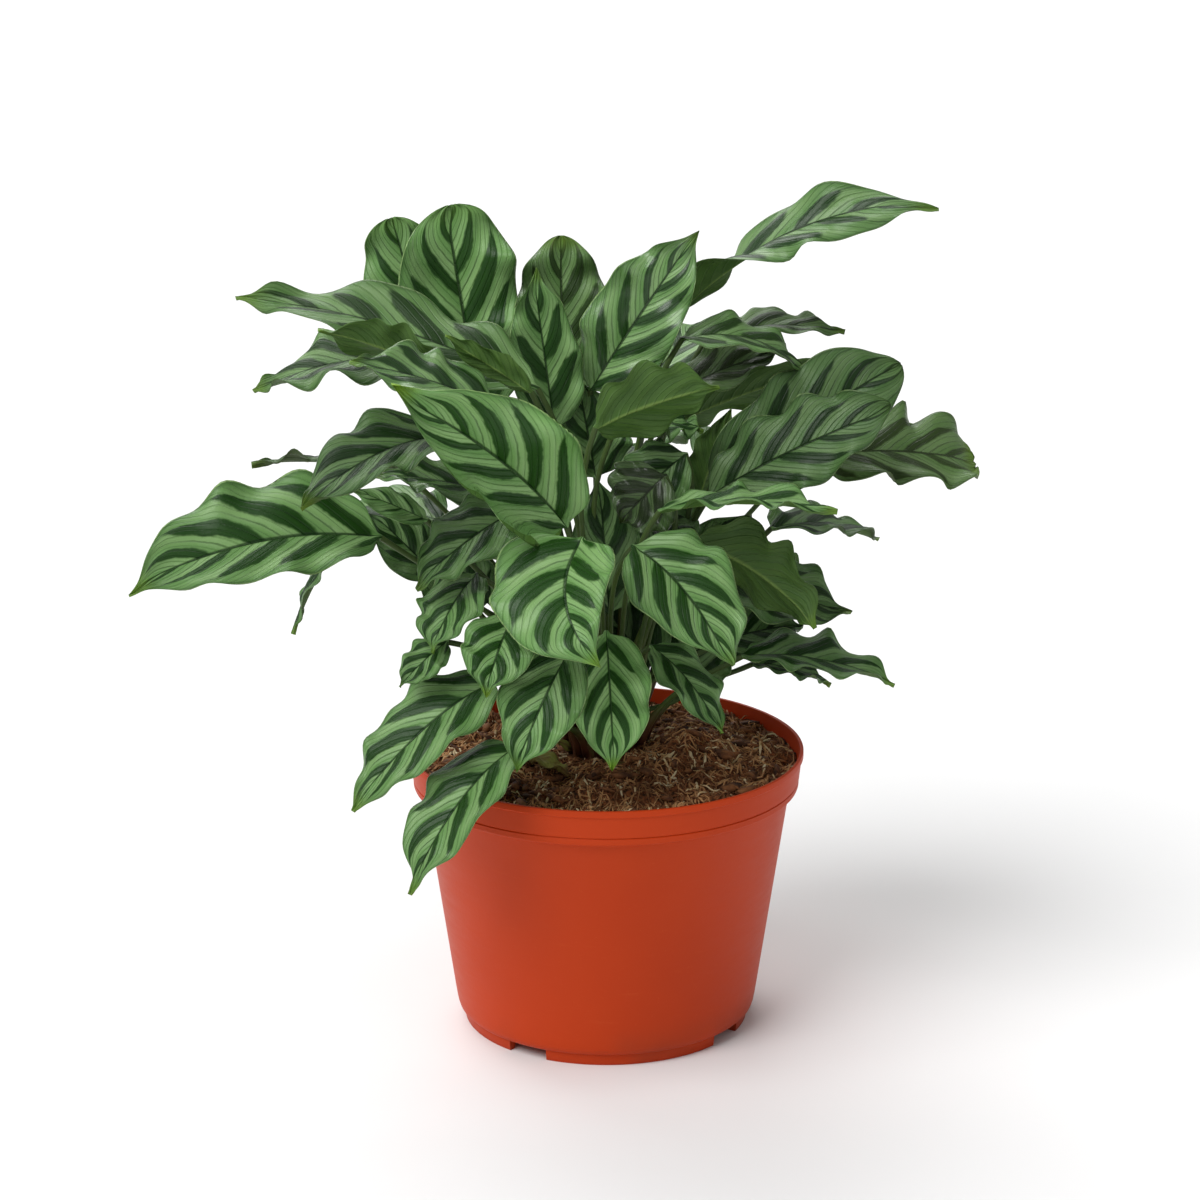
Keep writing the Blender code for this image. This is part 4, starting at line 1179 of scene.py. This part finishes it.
def leafUpper():
    made = Finish("stripedLeaf", IOR=1.42, Specular_IOR_Level=0.32, Coat_Roughness=0.22, Coat_IOR=1.45)
    phase, far, share = made.split("blade")
    tone, olive, gloss = made.split("look")
    place = made.place()
    cloud = made.grain(place, 45.0, 3.0)
    wobble = made.grain(place, 190.0, 2.0)
    ragged = phase + (wobble - 0.5) * 0.16
    dark, off = feathers(made, ragged, far, made.number("band"))
    streak = streaks(made, phase, far, share, 9.0)
    vein = made.ease(abs((phase * 5.0).part() - 0.5), 0.36, 0.5)

    light = made.tones(cloud, leafMake["lightTone"], leafMake["lightTone2"])
    light = made.tint(made.ease(streak, 0.42, 0.72) * 0.42, light, leafMake["streakTone"])
    light = made.tint(vein * 0.14, light, leafMake["veinTone"])
    # each light band is greener on the side towards the tip, out at the margin and near the tip
    between = ragged + 0.5
    luck = made.chance(between.whole() + 7.5)
    greener = made.ease(between.part(), 0.38, 0.74) * 0.50 + luck * 0.25
    greener = greener.most(made.ease(far, 0.66, 0.98) * 0.75).most(made.ease(share, 0.66, 1.0) * 0.6)
    light = made.tint(greener, light, leafMake["middleTone"])
    deep = made.tones(streak, leafMake["darkTone"], leafMake["darkTone2"])
    body = made.blend(dark, light, deep)
    # thin dark line where a feather runs out along the margin, and in the middle of a light band
    tail = (1.0 - made.ease(off, 0.02, 0.16)) * made.ease(far, 0.62, 0.80) * 0.35
    middle = made.ease(off, 0.90, 0.98) * (1.0 - made.ease(far, 0.25, 0.62)) * 0.4
    midrib = 1.0 - made.ease(far, 0.012, 0.040)
    edge = made.ease(far, 0.91, 0.965)
    lines = tail.most(middle).most(midrib * 0.85).most(edge * 0.35)
    body = made.tint(lines, body, leafMake["darkTone"])
    # bright tip, and a painted highlight: a pale hair line right on the edge
    body = made.tint(made.number("glow"), body, leafMake["tipTone"])
    body = made.tint(made.ease(far, 0.972, 0.988) * 0.7, body, leafMake["edgeHighlightTone"])
    body = made.tint(olive * 0.55, body, leafMake["oliveTone"])
    body = made.blend(1.0, body, made.join(tone, tone, tone), "MULTIPLY")
    rough = (0.37 - 0.10 * gloss) + 0.20 * (streak - 0.5) + 0.05 * dark
    shine = made.ease(gloss, 0.35, 1.0) * (0.35 + 0.5 * streak)
    cells = made.grain(place, 1500.0, 2.0)
    height = vein * -0.5 + streak * 0.6 + cells * 0.25 + midrib * -0.6
    relief = made.relief(height, 0.0008, 0.7)
    return made.feed(Base_Color=body, Roughness=rough, Coat_Weight=shine, Normal=relief)


def leafUnder():
    made = Finish("leafUnderside", IOR=1.42, Specular_IOR_Level=0.35)
    phase, far, share = made.split("blade")
    tone, olive, _ = made.split("look")
    cloud = made.grain(made.place(), 50.0, 3.0)
    dark = feathers(made, phase, far, 0.8)[0]
    streak = streaks(made, phase, far, share, 9.0)
    vein = made.ease(abs((phase * 4.0).part() - 0.5), 0.34, 0.5)
    body = made.tones(cloud, leafMake["underTone"], leafMake["underTone2"])
    body = made.tint(dark * 0.28, body, leafMake["underFeather"])
    body = made.tint(vein * 0.35, body, leafMake["underVein"])
    body = made.tint(streak * 0.25, body, leafMake["underStreak"])
    rib = 1.0 - made.ease(far, 0.02, 0.07)
    body = made.tint(rib * 0.6, body, leafMake["underRib"])
    body = made.tint(made.number("glow") * 0.8, body, leafMake["tipTone"])
    body = made.tint(olive * 0.5, body, leafMake["underOlive"])
    body = made.blend(1.0, body, made.join(tone, tone, tone), "MULTIPLY")
    rough = 0.50 + 0.15 * streak
    relief = made.relief(vein + streak * 0.5, 0.0004, 0.6)
    return made.feed(Base_Color=body, Roughness=rough, Normal=relief)


def stalkFinish():
    made = Finish("leafStalk", IOR=1.42, Specular_IOR_Level=0.4)
    share = made.split("blade")[2]
    place = made.place()
    cloud = made.grain(place, 70.0, 3.0)
    hair = made.grain(made.stretched(place, (6.0, 6.0, 1.0)), 200.0, 4.0)
    body = made.tones(cloud, leafMake["stalkTone"], leafMake["stalkTone2"])
    body = made.blend(made.ease(share, -0.95, -0.60), colour(*leafMake["stalkFootTone"]), body)
    body = made.tint(made.ease(share, -0.12, 0.0), body, leafMake["stalkTopTone"])
    body = made.tint(hair * 0.35, body, leafMake["stalkHairTone"])
    return made.feed(Base_Color=body, Roughness=0.42 + 0.2 * hair, Normal=made.relief(hair, 0.0003, 0.5))


def witheredFinish():
    made = Finish("witheredLeaf", Specular_IOR_Level=0.25)
    phase, far, share = made.split("blade")
    cloud = made.grain(made.place(), 160.0, 4.0)
    streak = streaks(made, phase, far, share, 12.0)
    green = colour(*leafMake["witheredTone"])
    body = made.tint(made.ease(cloud, 0.38, 0.62), green, leafMake["witheredTone2"])
    body = made.tint(streak * 0.5, body, leafMake["witheredStreak"])
    body = made.tint(made.ease(far, 0.75, 1.0) * 0.6, body, leafMake["witheredEdge"])
    return made.feed(Base_Color=body, Roughness=0.6 + 0.25 * cloud, Normal=made.relief(streak, 0.0006, 0.8))


def makeLeaves():
    fresh = [leafUpper(), leafUnder(), stalkFinish()]
    withered = [witheredFinish()] * 3
    count = 0
    leaves = [Leaf("leaf_" + name, *row) for name, *row in leafRows]
    leaves += [Leaf("inner_leaf_" + str(number), *row) for number, row in enumerate(innerRows, 1)]
    for leaf in leaves:
        piece = makeLeaf(leaf, withered if leaf.name == "leaf_withered" else fresh)
        count += len(piece.data.polygons)
    print("leaves:", len(leafRows), "and", len(innerRows), "inner ones with", count, "faces")


makeLeaves()


# crown, the clump of sheaths that the stalks rise from

crown = {
    "profile": (0.0, 0.25, 0.5, 0.75, 0.92, 1.0),
    "steps": 64,
    "sunk": 0.0012,
    "lumps": 0.0014,
    "lumpScale": 400.0,
    "sheaths": 34,
    "height": (0.006, 0.020),
    "width": (0.0016, 0.0034),
    "reach": 0.85,
    "lean": (0.05, 0.55),
    "sheathSteps": 9,
    "sheathSides": 10,
    "tone": (104, 56, 38),
    "greenTone": (92, 84, 44),
    "paleTone": (150, 112, 70),
    "darkTone": (46, 28, 20),
}


def sheathFinish():
    made = Finish("crownSheath", Specular_IOR_Level=0.3)
    place = made.place()
    cloud = made.grain(place, 130.0, 3.0)
    hair = made.grain(made.stretched(place, (7.0, 7.0, 1.0)), 240.0, 4.0)
    body = made.tones(made.ease(cloud, 0.36, 0.64), crown["tone"], crown["greenTone"])
    body = made.tint(made.ease(hair, 0.45, 0.7) * 0.6, body, crown["paleTone"])
    body = made.tint(hair * 0.4, body, crown["darkTone"])
    return made.feed(Base_Color=body, Roughness=0.60 + 0.2 * hair, Normal=made.relief(hair, 0.0005, 0.7))


def sheathShape(bit, dice):
    reach = crownHigh.x * crown["reach"] * sqrt(dice.uniform(0.1, 1.0))
    turn = dice.uniform(0.0, 2.0 * pi)
    low = crownHigh.z - crown["sunk"] - 0.001
    foot = Vector((reach * cos(turn), reach * sin(turn), low))
    height = dice.uniform(*crown["height"])
    width = dice.uniform(*crown["width"])
    out = Vector((cos(turn), sin(turn), 0.0))
    side = Vector((-sin(turn), cos(turn), 0.0))
    lean = dice.uniform(*crown["lean"])
    rings = []
    for step in range(crown["sheathSteps"] + 1):
        share = step / crown["sheathSteps"]
        centre = foot + Vector((0.0, 0.0, height * share)) + out * lean * height * share ** 2
        wide = width * (1.0 - share) ** 0.6 + 0.0001
        ring = []
        for corner in range(crown["sheathSides"]):
            angle = 2.0 * pi * corner / crown["sheathSides"]
            across = cos(angle)
            bulge = wide * 0.42 * across * across * -1.0 + 0.0003 * sin(angle)
            ring.append(centre + side * wide * across + out * bulge)
        rings.append(ring)
    loft(bit, rings)


def makeCrown():
    dice = random.Random(7)
    finish = sheathFinish()
    low = crownHigh.z - crown["sunk"]
    profile = [(crownHigh.x * share, low) for share in crown["profile"]]
    profile.append((crownHigh.x * 0.98, crownLow.z))
    profile.append((0.0, crownLow.z))
    bm = turned(profile, crown["steps"])
    for vert in bm.verts:
        if vert.co.z > low - 0.0001:
            vert.co.z += noise.noise(vert.co * crown["lumpScale"]) * crown["lumps"]
    bmesh.ops.recalc_face_normals(bm, faces=bm.faces)
    makePiece("crown_root", bm, [finish], "crown_sheath", "crown")
    scatter("crown_sheaths", crown["sheaths"], finish, "crown_sheath", sheathShape, dice)
    print("crown:", crown["sheaths"], "sheaths")


makeCrown()
